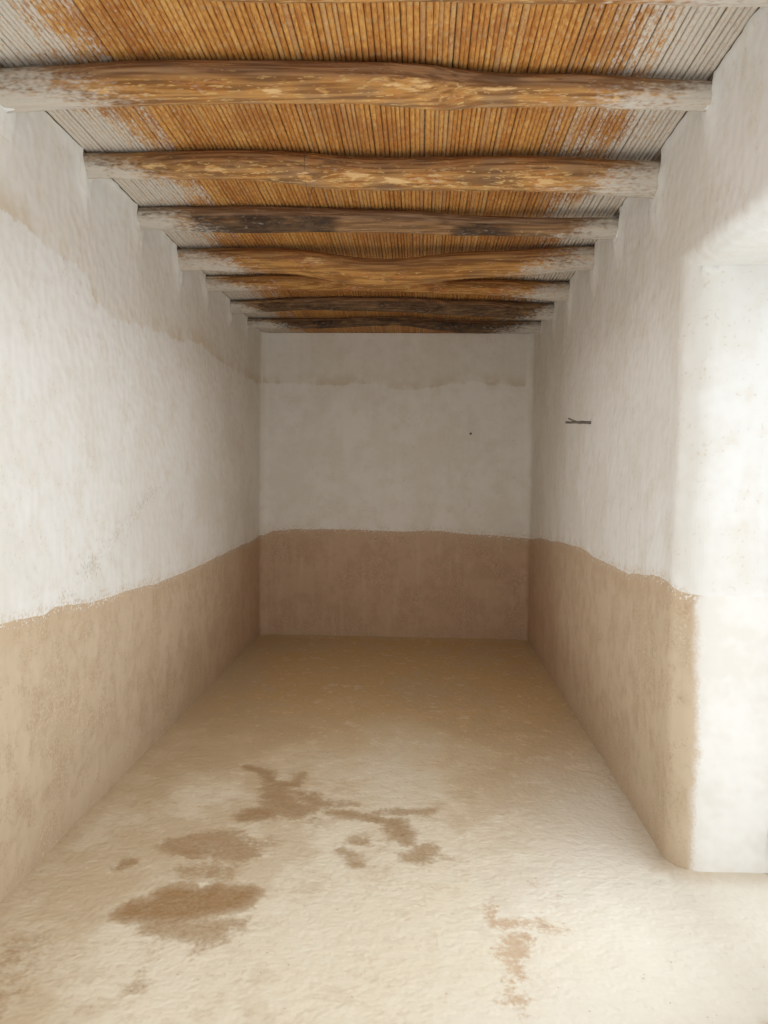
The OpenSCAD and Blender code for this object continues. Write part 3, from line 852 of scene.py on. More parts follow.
def sculpt_coat(shell, is_seen, line=None, dado_h=1.0):
    """Cuts a coat small, rounds its corners, and gives it its uneven face and its line."""
    cut_faces(shell, cut_faces(shell, list(shell.faces), X, PLACES_X), Y, PLACES_Y)
    faces = cut_faces(shell, [face for face in shell.faces if is_seen(face)], Z, PLACES_Z)
    rim = shell.verts.layers.float_vector.new("rim")
    seen = {vert for face in faces for vert in face.verts}
    cove_middle = [vert for vert in seen if at_cove_middle(vert.co)]
    push_with_rim(shell, faces, rubbed_face)
    for vert in cove_middle:
        vert[rim] = Vector((math.copysign(1, -vert.co.x), -1, 0)).normalized()
    above_line = shell.verts.layers.float.new("line")
    for vert in shell.verts:
        rise = line(vert.co) if line else 0.0
        share = (vert.co.z - floor_z) / dado_h
        if share > 1:
            share = 1 - smooth_step(0, LINE_FADE, vert.co.z - floor_z - dado_h)
        vert.co.z += rise * max(0.0, share)
        vert[above_line] = vert.co.z - floor_z - dado_h - rise if line else 1.0


def leak_height(co):
    """Height above the leak's lower edge, or well under it on the walls that stayed dry."""
    if co.x < 0.01 - half_w:
        return co.z - floor_z - line_at(LEFT_LEAK, co.y)
    if co.y > back_y - 0.02 and co.x < half_w - 0.05:
        return co.z - floor_z - line_at(BACK_LEAK, co.x)
    return -1.0


limewash = Finish("limewash", 0.9)
cloud = limewash.noise(1.9, 1, 0.55)
patch = limewash.noise(8.5, 2, 0.68)
brushed = limewash.noise(1.0, 1, 0.6, along=(18.0, 18.0, 2.0))
pits = limewash.noise(75, 0)
# Painted light: the limewash is painted cool and pale near the front, in the daylight, and warmer and
# duller deeper into the room, in the shade.
shade_deeper_in = limewash.part("Y").above(-1.6, 2.4)
pale = limewash.mix(shade_deeper_in, (0.868, 0.885, 0.876), (0.862, 0.835, 0.775))
dull = limewash.mix(shade_deeper_in, (0.808, 0.808, 0.772), (0.795, 0.755, 0.672))
limewash.base((cloud * 0.55 + patch * 0.45).above(0.40, 0.60) * 0.8, pale, dull)
limewash.paint(brushed.above(0.50, 0.74) * 0.17, (0.735, 0.70, 0.62))
limewash.paint(patch.above(0.57, 0.70) * 0.22, (0.77, 0.72, 0.61))
limewash.paint(pits.above(0.66, 0.78) * patch.above(0.42, 0.62) * 0.30, (0.60, 0.53, 0.42))
tide = limewash.kept("leak") + (patch - 0.5) * 0.07 + (pits - 0.5) * 0.022
soaked = tide.above(-0.006, 0.010)
blot = (patch * 0.5 + cloud * 0.5).above(0.44, 0.58)
limewash.paint(soaked * tide.above(0.13, 0.0) * (blot * 0.44 + 0.10), (0.60, 0.475, 0.30))
limewash.paint(soaked * tide.above(0.75, 0.05) * (brushed * 0.20 + 0.12), (0.70, 0.64, 0.52))
rubbed = (limewash.kept("scuff") * 0.9 + (patch - 0.5) * 1.3 + (pits - 0.5) * 1.7).above(0.75, 1.30)
limewash.paint(rubbed * 0.36, (0.52, 0.48, 0.42))
above_line = limewash.kept("line")
smudged = (above_line - patch * 0.10).above(0.0, -0.05) * pits.above(0.42, 0.60)
smudged = smudged * limewash.part("X").above(half_w + 0.05, half_w + 0.02)
limewash.paint(smudged * 0.5, (0.66, 0.545, 0.41))
height = limewash.noise(22, 0)
limewash.set(height, 0.006, strength=0.7)


def course_seen(face):
    """Whether a face of the course looks into the room."""
    return abs(face.normal.x) > 0.9 and abs(face.calc_center_median().x) < half_w + 0.001


for name, sign in (("left", -1), ("right", 1)):
    node = name + "_log_course"
    shell = node_shell(node)
    sculpt_coat(shell, course_seen)
    outside = [face for face in shell.faces if face.normal.x * sign > 0.9]
    outside = cut_small(shell, outside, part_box(node), RENDER_CELL, [Y, Z])
    push_with_rim(shell, outside, hand_smoothed)
    for face in outside:
        face.material_index = 2
    open_end(shell, sign, 2)
    set_on_points(shell, "leak", leak_height)
    place_piece(name + "_course", shell, [limewash, mortar, mud_render], "limewash", [node])


SKIRT_RINGS, SKIRT_SIDES = 8, 32
SKIRT_ROOT = 0.014


def draw_skirt(shell, axis, side):
    """The coat drawn out from the wall on to a log's end, thick and ragged below, thin above."""
    rings = []
    for ring in range(SKIRT_RINGS + 1):
        t = ring / SKIRT_RINGS
        verts = []
        for point in range(SKIRT_SIDES):
            turn = math.tau * point / SKIRT_SIDES
            across, lift = math.cos(turn), math.sin(turn)
            lump = ripple(axis[0][1] * 9 + across * 1.7, lift * 1.7, side * 5 + t * 1.2)
            below = smooth_step(0.35, -0.75, lift)
            reach = (0.010 + 0.018 * below) * (1 + 0.9 * lump)
            thick = (0.002 + 0.003 * below) * (1 + 0.8 * lump)
            x = side * (half_w + SKIRT_ROOT - t * (reach + SKIRT_ROOT))
            y, z, r = axis_at(axis, x)
            out = r + thick * (1 - t) ** 1.5 - 0.004 * t
            place = Vector((x, y + out * across, z + out * lift))
            place.z += min(0.0, under_canes(place) - 0.0006)
            verts.append(shell.verts.new(place))
        rings.append(verts)
    for near, far in zip(rings, rings[1:]):
        for a, b, c, d in zip(near, near[1:] + near[:1], far[1:] + far[:1], far):
            shell.faces.new((a, b, c, d) if side < 0 else (d, c, b, a))


for name, side in (("left", -1), ("right", 1)):
    shell = bmesh.new()
    for axis in AXES.values():
        draw_skirt(shell, axis, side)
    bmesh.ops.recalc_face_normals(shell, faces=shell.faces)
    set_on_points(shell, "leak", lambda co: -1.0)
    set_on_points(shell, "line", lambda co: 1.0)
    place_piece(name + "_log_plaster", shell, [limewash], "limewash", crease=80)


# CANES
# River canes laid side by side on the logs, thick by thin, with their leaf sheaths stripped. They
# are hollow, with a ring at each joint, and the shade inside their open ends is painted dark. The
# limewash brush has caught the ends of the rows along the side walls.

JOINTS_PER_CANE = 31
CANE_SIDES = 8
RING_HALF = 0.0016
CANE_DRAW = random.Random(23)
CANE_PITCH = 0.0175
cane_back_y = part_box("canes_3")[1].y

cane_skin = Finish("cane_skin", 0.6)
tint, hue = cane_skin.kept("tint"), cane_skin.kept("hue")
mottle = cane_skin.noise(1.0, 1, 0.70, along=(80.0, 32.0, 80.0))
stripes = cane_skin.noise(1.0, 0, along=(460.0, 16.0, 460.0))
stained = cane_skin.noise(3.0, 1, 0.62)
flick = cane_skin.noise(1.0, 2, 0.74, along=(120.0, 40.0, 120.0))
tone = tint * 0.30 + mottle * 0.85 + stripes * 0.35 - 0.25
browns = [(0.0, (0.250, 0.085, 0.020)), (0.30, (0.430, 0.175, 0.038)), (0.55, (0.570, 0.280, 0.070)),
          (0.80, (0.680, 0.395, 0.125)), (1.0, (0.770, 0.540, 0.255))]
cane_skin.colour = cane_skin.node("ValToRGB", {"stops": browns}, {"Fac": tone})
cane_skin.paint(hue.above(0.84, 0.90) * 0.45, (0.50, 0.33, 0.16))
reddened = (flick + (stained - 0.5) * 0.45).above(0.525, 0.625)
cane_skin.paint(reddened * 0.60, (0.400, 0.110, 0.022))
cane_skin.paint(stained.above(0.55, 0.70) * 0.30, (0.300, 0.140, 0.045))
joint = cane_skin.kept("joint")
cane_skin.paint(joint.above(0.25, 0.95) * 0.40, (0.66, 0.48, 0.27))
cane_skin.paint(joint.above(0.72, 1.0) * 0.4, (0.20, 0.10, 0.035))
from_wall = half_w - cane_skin.part("X").size()
edge = from_wall + (stained - 0.5) * 0.42 + (tint - 0.5) * 0.14
lime = (edge.above(0.58, 0.08) + (flick - 0.5) * 2.0 + (mottle - 0.5) * 0.6).above(0.34, 0.95)
spatter = (0.5 - flick - from_wall * 0.06).above(0.135, 0.170) * 0.6
cane_skin.paint(lime.either(spatter) * 0.88, (0.69, 0.665, 0.60))
# Painted shade: the shallow dimple in each cane's end is painted near black for the shade inside the
# bore.
hollow = cane_skin.kept("hollow")
cane_skin.paint(hollow.above(0.4, 0.6), (0.07, 0.035, 0.012))
cane_skin.set(roughness=0.55 + lime * 0.3)


def cane_pattern():
    """A round cane one unit long and in radius, with three cuts at each joint, and a shallow dimple in
    each end where the shade inside its bore is painted.
    """
    cane = bmesh.new()
    bmesh.ops.create_cone(cane, cap_ends=True, segments=CANE_SIDES, radius1=1, radius2=1, depth=1)
    places = [(k + 0.5) / JOINTS_PER_CANE - 0.5 + offset for k in range(JOINTS_PER_CANE)
              for offset in (-RING_HALF, 0.0, RING_HALF)]
    cut_faces(cane, list(cane.faces), Z, places)
    ends = [face for face in cane.faces if abs(face.normal.z) > 0.9]
    bmesh.ops.inset_individual(cane, faces=ends, thickness=0.24, depth=0.0)
    bmesh.ops.inset_individual(cane, faces=ends, thickness=0.02, depth=-0.002)
    mesh = bpy.data.meshes.new("cane_pattern")
    hollow = cane.verts.layers.float.new("hollow")
    joint = cane.verts.layers.float.new("joint")
    for face in ends:
        for vert in face.verts:
            vert[hollow] = 1.0
    for vert in cane.verts:
        step = (vert.co.z + 0.5) * JOINTS_PER_CANE % 1
        vert[joint] = 1.0 if abs(step - 0.5) < 0.01 else 0.35 if abs(step - 0.5) < 0.08 else 0.0
    cane.to_mesh(mesh)
    cane.free()
    return mesh


pattern = cane_pattern()
number = 0
for bed in range(1, 6):
    node = f"canes_{bed}"
    low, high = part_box(node)
    count = round((high.x - low.x) / CANE_PITCH)
    shell = bmesh.new()
    for name in ("hollow", "joint", "tint", "hue"):
        shell.verts.layers.float.new(name)
    widths = [CANE_DRAW.uniform(0.74, 1.14) for k in range(count)]
    share = (high.x - low.x) / sum(widths)
    edge_x = low.x
    for width in widths:
        first = len(shell.verts)
        shell.from_mesh(pattern)
        shell.verts.ensure_lookup_table()
        tint, hue = shell.verts.layers.float["tint"], shell.verts.layers.float["hue"]
        joint = shell.verts.layers.float["joint"]
        draw = CANE_DRAW.random
        shade, kind, phase = draw(), draw(), draw() * math.tau
        wide = width * share * (0.475 + 0.03 * draw())
        thick = min(wide, CANE_PITCH * 0.475) * 0.92
        sag = 0.0022 * draw()
        taper = 0.10 * (1 if number % 2 else -1)
        stretch = 0.93 + 0.14 * draw()
        middle_x = edge_x + width * share / 2
        edge_x += width * share
        start_y = front_y - 0.004 + 0.014 * draw()
        for vert in shell.verts[first:]:
            t = max(0.0, min(1.0, vert.co.z + 0.5))
            along = 1 - (1 - t) ** stretch
            y = start_y + (cane_back_y - start_y) * along
            swell = (1 + taper * (t - 0.5)) * (1 + 0.07 * vert[joint])
            sway = 0.0012 * math.sin(9 * t + phase) + 0.0006 * math.sin(31 * t + 2 * phase)
            rise = 0.0007 * (1 + math.sin(14 * t + 3 * phase))
            deck_z = front_cane_z - (y - front_y) * roof_fall
            x = middle_x + wide * swell * vert.co.x + sway
            vert.co = Vector((x, y, deck_z + thick * 1.08 + rise + sag + thick * swell * vert.co.y))
            vert[tint], vert[hue] = shade, kind
        number += 1
    bmesh.ops.recalc_face_normals(shell, faces=shell.faces)
    place_piece(f"cane_bed_{bed}", shell, [cane_skin], "cane", [node], crease=60)


# STRAW
# A bed of loose straw over the canes keeps the earth from sifting through them. Its stalks stick
# out along the open front.

STALKS = 420
STALK_DRAW = random.Random(5)


def steps(low, high, cell):
    """Places about a cell apart between two ends, without the ends."""
    count = max(1, round((high - low) / cell))
    return [low + (high - low) * k / count for k in range(1, count)]


straw_bed = Finish("straw_bed", 0.7)
stalks = straw_bed.noise(1.0, 4, 0.7, along=(16.0, 150.0, 190.0))
strands = straw_bed.cells(60, along=(0.16, 1.0, 1.0))
straw_bed.base(stalks.above(0.36, 0.66), (0.17, 0.115, 0.05), (0.60, 0.47, 0.235))
straw_bed.paint(strands.above(0.16, 0.05) * 0.7, (0.74, 0.62, 0.35))
straw_bed.set(stalks + strands * 0.5, 0.006)

shell = node_shell("straw_layer")
low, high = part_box("straw_layer")
front = [face for face in shell.faces if face.normal.y < -0.9]
front = cut_faces(shell, front, X, steps(low.x, high.x, 0.02))
push_out(front, lambda co: 0.004 * noise.noise(co * 40) - 0.004)
for _ in range(STALKS):
    draw = STALK_DRAW.uniform
    length, r = draw(0.03, 0.09), draw(0.0010, 0.0019)
    stalk = bmesh.ops.create_cone(shell, cap_ends=True, segments=4, radius1=r, radius2=r * 0.6,
                                  depth=length)["verts"]
    x, up = draw(low.x + 0.05, high.x - 0.05), draw(0.003, 0.032)
    aim = Vector((draw(-1, 1), draw(-0.42, -0.04), draw(-0.20, 0.20))).normalized()
    turn = Z.rotation_difference(aim).to_matrix().to_4x4()
    base_z = front_cane_z + 0.017 + up
    place = Matrix.Translation((x, front_y + 0.002 + abs(aim.y) * length * 0.18, base_z)) @ turn
    bmesh.ops.transform(shell, matrix=place, verts=stalk)
place_piece("straw_bed", shell, [straw_bed], "straw", ["straw_layer"])


# EARTH ROOF
# Earth and chopped straw, spread wet over the straw and over the tops of the walls, and beaten.
# Sun and rain have cracked it and rounded its edge.

ROOF_CELL = 0.06
EAVE_R = 0.045

roof_earth = Finish("roof_earth")
broad = roof_earth.noise(0.8, 3, 0.62)
clods = roof_earth.noise(6.5, 4, 0.70)
sand = roof_earth.noise(55, 2, 0.7)
roof_earth.base(broad.above(0.38, 0.64), (0.46, 0.335, 0.215), (0.585, 0.45, 0.305))
roof_earth.paint(clods.above(0.46, 0.68) * 0.6, (0.66, 0.53, 0.375))
roof_earth.paint(sand.above(0.54, 0.70) * 0.45, (0.37, 0.26, 0.165))
plates = roof_earth.cells(4.6, "DISTANCE_TO_EDGE") + (roof_earth.noise(13, 2) - 0.5) * 0.22
on_top = roof_earth.part("Y").above(front_y + 0.01, front_y + 0.06)
cracks = plates.above(0.018, 0.002) * roof_earth.noise(1.3, 2).above(0.42, 0.58) * on_top
fine_cracks = roof_earth.cells(13, "DISTANCE_TO_EDGE") + (roof_earth.noise(31, 2) - 0.5) * 0.22
fine_cracks = fine_cracks.above(0.020, 0.002) * roof_earth.noise(2.2, 2).above(0.50, 0.62) * on_top
roof_earth.paint(cracks.either(fine_cracks * 0.6) * 0.6, (0.25, 0.17, 0.10))
chaff = roof_earth.cells(62, along=(1.0, 0.18, 1.0)).above(0.10, 0.03)
chaff = chaff.either(roof_earth.cells(66, along=(0.18, 1.0, 1.0)).above(0.10, 0.03))
chaff = chaff * roof_earth.noise(7).above(0.42, 0.58)
roof_earth.paint(chaff * 0.7, (0.75, 0.64, 0.40))
pebbles = roof_earth.cells(26).above(0.20, 0.16) * roof_earth.noise(5).above(0.55, 0.60)
roof_earth.paint(pebbles * 0.6, (0.42, 0.37, 0.31))
height = clods * 0.7 + sand * 0.16 + chaff * 0.06 - cracks * 0.6 - fine_cracks * 0.3 + pebbles * 0.25
roof_earth.set(height, 0.012)


def weathered(co):
    """How far the roof's top stands above or below its true slope."""
    broad = ripple(co.x * 1.1, co.y * 1.1, 5.0)
    lumps = ripple(co.x * 4.5, co.y * 4.5, 2.0)
    clods = ripple(co.x * 14, co.y * 14, 3.0)
    rim = min(-out_x - abs(co.x), out_y - co.y)
    sunk = 0.014 * (1 - smooth_step(0.0, 0.16, rim))
    return 0.009 * broad + 0.005 * lumps + 0.0022 * clods - sunk


shell = node_shell("earth_roof")
low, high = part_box("earth_roof")
eave = [edge for edge in shell.edges
        if len(edge.link_faces) == 2 and max(face.normal.z for face in edge.link_faces) > 0.9
        and min(abs(face.normal.z) for face in edge.link_faces) < 0.5
        and min(face.normal.y for face in edge.link_faces) > -0.9
        and max(abs(edge.verts[0].co.x), abs(edge.verts[1].co.x)) > core_x]
bmesh.ops.bevel(shell, geom=eave, offset=EAVE_R, offset_type="OFFSET", segments=4, profile=0.5,
                affect="EDGES", material=-1, clamp_overlap=True)


def on_rim(face):
    """Whether a face is on the roof's outer sides, which the mud render covers."""
    middle = face.calc_center_median()
    upright = abs(face.normal.z) < 0.5 and face.normal.y > -0.9
    return upright and (abs(middle.x) > half_w + 0.1 or middle.y > back_y + 0.3)


outer = [face for face in shell.faces if on_rim(face)]
outer = cut_small(shell, outer, (low, high), RENDER_CELL)
top = [face for face in shell.faces if face.normal.z > 0.5]
for axis, places in ((X, steps(low.x, high.x, ROOF_CELL)), (Y, steps(low.y, high.y, ROOF_CELL))):
    top = cut_faces(shell, top, axis, places)
for face in outer:
    face.material_index = 1
push_with_rim(shell, outer, hand_smoothed)
for vert in {vert for face in top for vert in face.verts}:
    vert.co.z += weathered(vert.co)
set_on_points(shell, "limed", lambda co: 0.0)
place_piece("beaten_roof", shell, [roof_earth, mud_render], "roof_earth", ["earth_roof"])


# COATS ON THE WALLS INSIDE
# A coat of clay over the bricks, rubbed smooth by hand, with rounded back corners. The foot is
# left bare, and above it the coat is brushed with several layers of limewash that end in an
# uneven line.

# The top of the bare clay above the floor, at places along each wall
LEFT_LINE = [
    (-3.2, 0.95), (-1.76, 0.94), (-1.44, 0.92), (-1.36, 0.935), (-0.95, 0.89), (-0.67, 0.885),
    (-0.40, 0.87), (-0.10, 0.85), (0.20, 0.855), (0.60, 0.85), (1.60, 0.865), (2.35, 0.86),
    (2.70, 0.89)]
BACK_LINE = [
    (-1.15, 0.875), (-1.03, 0.92), (-0.80, 0.94), (-0.38, 0.94), (0.05, 0.93), (0.31, 0.94),
    (0.73, 0.91), (1.15, 0.89)]
RIGHT_LINE = [
    (-3.2, 1.05), (-2.30, 1.02), (-1.48, 1.02), (-1.22, 1.06), (-1.10, 1.06), (-0.88, 1.03),
    (-0.62, 1.01), (-0.10, 1.01), (0.44, 1.02), (0.94, 1.00), (1.80, 0.955), (2.68, 0.89)]
WALLS = {
    "left": (LEFT_LINE, Y), "back": (BACK_LINE, X),
    "right_rear": (RIGHT_LINE, Y), "right_front": (RIGHT_LINE, Y)}


def dado_line(line, along, dado_h):
    """How far the dado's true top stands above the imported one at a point."""
    def rule(co):
        place = co.dot(along)
        uneven = 0.006 * ripple(place * 5.0, co.x * 0.5, 2.0)
        uneven += 0.004 * ripple(place * 17, co.x * 0.5, 5.0)
        return line_at(line, place) + uneven - dado_h
    return rule


def seen_inside(face):
    """Whether a coat's face looks into the room or the doorway, and isn't against its wall."""
    middle = face.calc_center_median()
    if face.normal.z > 0.2 or middle.y > back_y + 0.002 or middle.y < front_y + 0.001:
        return False
    if middle.x < half_w + 0.001 and abs(face.normal.x) > 0.9:
        return abs(middle.x) < half_w + 0.001
    if abs(middle.x) < half_w:
        return face.normal.y < -0.9
    if abs(face.normal.y) > 0.9 and middle.z > head_z:
        return False
    rear = middle.y > (near_jamb_y + far_jamb_y) / 2
    if face.normal.z < -0.02 and middle.z < head_z - 0.3:
        return False
    return face.normal.x < -0.02 or face.normal.y * (-1 if rear else 1) > 0.02 or face.normal.z < -0.02


def scuffed(co):
    """Where hands and tools have rubbed the left wall, in a slanting streak and above the dado."""
    if co.x > 0.05 - half_w or co.y > 0.4:
        return 0.0
    streak = abs((co.z - 1.06) - (co.y + 1.31) * 0.36) - 0.05 * ripple(co.y * 5, co.z * 5, 8)
    low = co.z - floor_z - line_at(LEFT_LINE, co.y) - 0.05 * abs(ripple(co.y * 9, 0, 3))
    worn = max(smooth_step(0.11, 0.0, streak) * smooth_step(0.40, -0.2, co.y),
               smooth_step(0.09, 0.0, low) * smooth_step(-0.60, -1.0, co.y))
    return worn * smooth_step(-1.45, -1.20, co.y)


clay_coat = Finish("clay_coat", 0.9)
smear = clay_coat.noise(2.6, 1, 0.6)
daubs = clay_coat.noise(11, 2, 0.68)
strokes = clay_coat.noise(1.0, 1, 0.6, along=(21.0, 21.0, 2.6))
sand = clay_coat.noise(105, 0)
# Painted shade: the clay is painted darker and redder deeper into the room, away from the daylight.
shade_deeper_in = clay_coat.part("Y").above(-1.4, 2.5)
pale = clay_coat.mix(shade_deeper_in, (0.655, 0.545, 0.405), (0.600, 0.430, 0.295))
dull = clay_coat.mix(shade_deeper_in, (0.590, 0.475, 0.340), (0.530, 0.360, 0.240))
clay_coat.base((smear * 0.6 + daubs * 0.4).above(0.40, 0.60), pale, dull)
clay_coat.paint(strokes.above(0.50, 0.72) * 0.20, (0.680, 0.575, 0.430))
clay_coat.paint(daubs.above(0.54, 0.68) * 0.26, (0.53, 0.395, 0.265))
below_line = clay_coat.kept("line")
# The clay is darker in a band just under the limewash line.
darker_under_line = (below_line + (smear - 0.5) * 0.10 + (daubs - 0.5) * 0.05).above(-0.13, -0.03)
clay_coat.paint(darker_under_line * 0.36, (0.575, 0.420, 0.275))
foot = (clay_coat.part("Z") + (daubs - 0.5) * 0.22).above(floor_z + 0.17, floor_z - 0.01)
clay_coat.paint(foot * 0.40, (0.46, 0.335, 0.215))
clay_coat.paint(sand.above(0.56, 0.68) * daubs.above(0.42, 0.58) * 0.34, (0.43, 0.31, 0.20))
clay_coat.paint(sand.above(0.42, 0.32) * smear.above(0.48, 0.60) * 0.32, (0.78, 0.68, 0.52))
specks = (sand + below_line * 1.6 + (daubs - 0.5) * 0.2).above(0.62, 0.66)
specks = specks * below_line.above(-0.05, -0.01)
# The doorway's reveal is painted limewash white. The white is partly limewash and partly painted light,
# for the daylight that floods it.
reveal_lime_and_light = clay_coat.part("X") + (smear - 0.5) * 0.05 + (daubs - 0.5) * 0.05 + (sand - 0.5) * 0.02
reveal_lime_and_light = reveal_lime_and_light.above(half_w + 0.050, half_w + 0.092)
limed = (smear * 0.5 + daubs * 0.5).above(0.40, 0.60) * 0.8
limed = clay_coat.mix(limed, (0.870, 0.870, 0.845), (0.810, 0.795, 0.745))
clay_coat.paint((specks * 0.8).either(reveal_lime_and_light), limed)
height = clay_coat.noise(22, 0)
clay_coat.set(height, 0.006, strength=0.7)

for wall, (line, along) in WALLS.items():
    dado_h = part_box(wall + "_dado")[1].z - floor_z
    for part, finish, slot in (("dado", clay_coat, "clay_coat"), ("limewash", limewash, "limewash")):
        node = f"{wall}_{part}"
        shell = node_shell(node)
        sculpt_coat(shell, seen_inside, dado_line(line, along, dado_h), dado_h)
        set_on_points(shell, "leak", leak_height)
        set_on_points(shell, "scuff", scuffed)
        place_piece(node + "_coat", shell, [finish], slot, [node])

shell = node_shell("door_head_limewash")
sculpt_coat(shell, seen_inside)
set_on_points(shell, "leak", leak_height)
place_piece("door_head_coat", shell, [limewash], "limewash", ["door_head_limewash"])


# PEGS
# Two short branches driven into the walls to hang things on, grey and split with age. The one in
# the side wall still has the stub of a fork.

peg_wood = Finish("peg_wood", 0.8)
grain = peg_wood.noise(1.0, 5, 0.7, along=(28.0, 28.0, 160.0))
peg_wood.base(grain.above(0.36, 0.66), (0.075, 0.062, 0.050), (0.27, 0.235, 0.195))
peg_wood.set(grain, 0.003)


def hew_peg(node, root, tip, fork):
    """A bent, tapering branch from inside the wall to its tip, with an optional fork."""
    shell = bmesh.new()
    stems = [(root, tip, 0.0098, 0.0062)]
    if fork:
        stems.append((root.lerp(tip, 0.72), fork, 0.0058, 0.0038))
    for start, end, thick, thin in stems:
        reach = end - start
        made = bmesh.ops.create_cone(shell, cap_ends=True, segments=12, radius1=thick, radius2=thin,
                                     depth=reach.length)
        faces = list({face for vert in made["verts"] for face in vert.link_faces})
        faces = cut_faces(shell, faces, Z, steps(-reach.length / 2, reach.length / 2, 0.008))
        verts = list({vert for face in faces for vert in face.verts})
        turn = Z.rotation_difference(reach).to_matrix().to_4x4()
        bmesh.ops.transform(shell, matrix=Matrix.Translation((start + end) / 2) @ turn, verts=verts)
        for vert in verts:
            out = min(1.0, max(0.0, (vert.co - root).length - 0.09) / 0.05)
            bends = 0.0022 * noise.noise_vector(vert.co * 45) + 0.0028 * noise.noise_vector(vert.co * 11)
            vert.co += out * bends
    place_piece(node + "_branch", shell, [peg_wood], "timber", [node], crease=60)


low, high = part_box("side_peg")
middle = (low + high) / 2
hew_peg("side_peg", Vector((high.x, middle.y, middle.z)), Vector((low.x, middle.y, middle.z)),
        Vector((low.x + 0.012, middle.y - 0.016, middle.z + 0.020)))
low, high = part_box("back_peg")
middle = (low + high) / 2
hew_peg("back_peg", Vector((middle.x, high.y, middle.z)), Vector((middle.x, low.y, middle.z)), None)


# WIRE HOOK
# A thin iron wire slung over the fourth log from the front, left of its middle. Its two ends hang
# down and are twisted together into a small hook for a lamp.

WIRE_X = -0.24
WIRE_R = 0.0011
HANG = 0.15

iron = Finish("rusty_wire", 0.6)
rusty = iron.noise(90, 3)
iron.base(rusty.above(0.4, 0.6), (0.075, 0.060, 0.050), (0.20, 0.12, 0.075))
iron.set(rusty, 0.0005)


def bend_wire(name, path):
    """A round wire through a few points."""
    curve = bpy.data.curves.new(name, "CURVE")
    curve.dimensions = "3D"
    curve.bevel_depth = WIRE_R
    curve.bevel_resolution = 1
    curve.resolution_u = 4
    curve.use_fill_caps = True
    curve.materials.append(iron.material)
    spline = curve.splines.new("NURBS")
    spline.points.add(len(path) - 1)
    for point, place in zip(spline.points, path):
        point.co = (*place, 1.0)
    spline.use_endpoint_u = True
    spline.order_u = 3
    wire = add_object(name, curve)
    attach(wire, "root")


hung = [vert.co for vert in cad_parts["log_6"].data.vertices if abs(vert.co.x - WIRE_X) < 0.07]
hung_y = [co.y for co in hung]
wire_y = (min(hung_y) + max(hung_y)) / 2
wire_r = (max(hung_y) - min(hung_y)) / 2 + 0.004
wire_z = min(co.z for co in hung) + wire_r
for strand in (-1, 1):
    turns = [math.radians(degrees) for degrees in range(60, -100, -20)]
    over = [(WIRE_X + strand * 0.010, wire_y + strand * wire_r * math.cos(turn),
             wire_z + wire_r * math.sin(turn)) for turn in turns]
    down = [(WIRE_X + strand * 0.006 * math.cos(9 * k), wire_y + strand * 0.004 * math.sin(5 * k),
             wire_z - wire_r - HANG * k / 8) for k in range(2, 9)]
    bend_wire(f"wire_strand_{'ab'[strand > 0]}", over + down)
hook = [(WIRE_X + 0.020 * math.sin(k * 0.9) * (1 - k / 24), wire_y + 0.011 * math.cos(k * 1.7),
         wire_z - wire_r - HANG - 0.004 + 0.016 * math.cos(k * 0.9) * (1 - k / 24)) for k in range(20)]
bend_wire("wire_hook", hook)


# SETTING
# A plain pale floor around the house, a white backdrop, soft light from all round and through
# the openings, and a camera at the photograph's viewpoint.

ground = Finish("pale_ground", 0.9)
ground.colour = (0.78, 0.775, 0.765)
ground.set()
shell = bmesh.new()
bmesh.ops.create_grid(shell, x_segments=8, y_segments=8, size=40)
bmesh.ops.translate(shell, verts=shell.verts, vec=(0, 0, -0.001))
plain_floor = add_mesh("ground", shell, [ground])

SKY_LIGHT = 0.92
world = bpy.data.worlds.new("sky")
bpy.context.scene.world = world
world.use_nodes = True
sky = Nodes(world.node_tree)
backdrop = sky.tree.nodes["Background"].inputs
backdrop["Color"].default_value = (1, 1, 1, 1)
camera_ray, glossy_ray, clear_ray = [sky.node("LightPath", output=f"Is {way} Ray")
                                     for way in ("Camera", "Glossy", "Transmission")]
seen_white = camera_ray.either(glossy_ray).either(clear_ray)
sky.feed(backdrop["Strength"], seen_white * (1 - SKY_LIGHT) + SKY_LIGHT)


def soft_light(name, place, aim, width, height, brightness, colour=(1, 1, 1)):
    """A soft panel of light, as bright to look at as a surface of that brightness.

    It is sampled as a lamp alone, because no surface here is smooth enough to mirror it.
    """
    lamp = bpy.data.lights.new(name, "AREA")
    lamp.shape = "RECTANGLE"
    lamp.size, lamp.size_y = width, height
    lamp.energy = math.pi * width * height * brightness
    lamp.color = colour
    lamp.cycles.use_multiple_importance_sampling = False
    panel = add_object(name, lamp)
    panel.visible_camera = False
    turn = (-Vector(aim)).to_track_quat("Z", "Y").to_matrix().to_4x4()
    panel.matrix_world = Matrix.Translation(place) @ turn


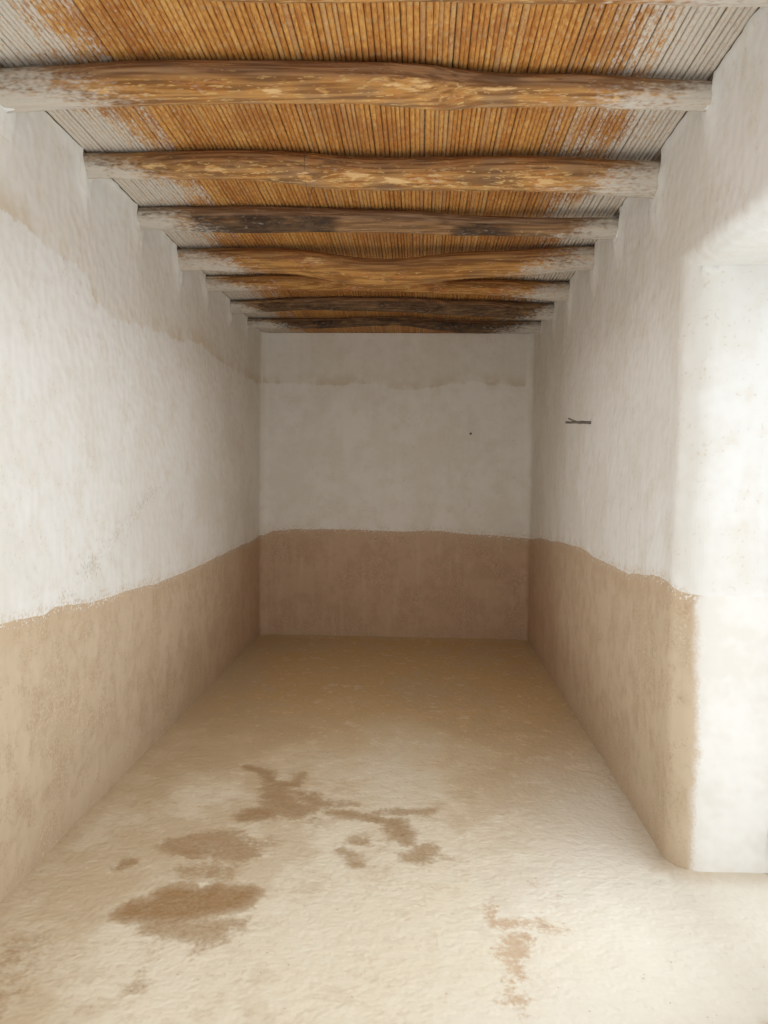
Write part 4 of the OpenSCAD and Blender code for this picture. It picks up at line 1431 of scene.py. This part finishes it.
DAYLIGHT = (0.88, 0.96, 1.0)
door_y = (near_jamb_y + far_jamb_y) / 2
soft_light("daylight_doorway", (half_w + 0.03, door_y, floor_z + 1.25), (-1, 0, 0),
           0.66, 1.7, 2.6, DAYLIGHT)
soft_light("daylight_on_jambs", (half_w + 0.43, door_y, floor_z + 1.10), (-1, 0, 0), 0.62, 1.9, 0.95)
soft_light("daylight_front", (0.1, front_y - 0.15, floor_z + 1.40), (0, 1, 0), 2.0, 2.0, 0.75)
soft_light("daylight_front_left", (-1.05, front_y - 0.10, floor_z + 1.10), (1, 0.9, -0.08),
           0.9, 1.9, 0.32, DAYLIGHT)
soft_light("bounce_down", (0, -0.8, floor_z + 2.25), (0, 0, -1), 1.1, 3.2, 0.65)
soft_light("bounce_up", (0, -0.55, floor_z + 0.25), (0, 0, 1), 1.1, 3.7, 0.70)
soft_light("key", (5.0, -7.0, 7.5), (-5.0, 7.0, -6.2), 5.0, 5.0, 0.15)

EYE_FROM_LEFT, EYE_FROM_BACK, EYE_HEIGHT = 1.372, 7.068, 1.468
TURN_LEFT, TILT_DOWN, ROLL = math.radians(2.514), math.radians(3.016), math.radians(0.628)
FOCAL_PX, FRAME_H_PX = 828.0, 1024.0
SENSOR = 36.0
camera = add_object("camera", bpy.data.cameras.new("camera"))
level = Vector((math.cos(TURN_LEFT), math.sin(TURN_LEFT), 0))
ahead = Z.cross(level) * math.cos(TILT_DOWN) - Z * math.sin(TILT_DOWN)
upward = level.cross(ahead)
right = level * math.cos(ROLL) + upward * math.sin(ROLL)
upward = upward * math.cos(ROLL) - level * math.sin(ROLL)
turn = Matrix((right, upward, -ahead)).transposed()
eye = Vector((EYE_FROM_LEFT - half_w, back_y - EYE_FROM_BACK, floor_z + EYE_HEIGHT))
camera.matrix_world = Matrix.Translation(eye) @ turn.to_4x4()
camera.data.sensor_width = SENSOR
camera.data.lens = SENSOR * FOCAL_PX / FRAME_H_PX
camera.data.clip_start = 0.05
bpy.context.scene.camera = camera
bpy.context.scene.view_settings.view_transform = "Standard"
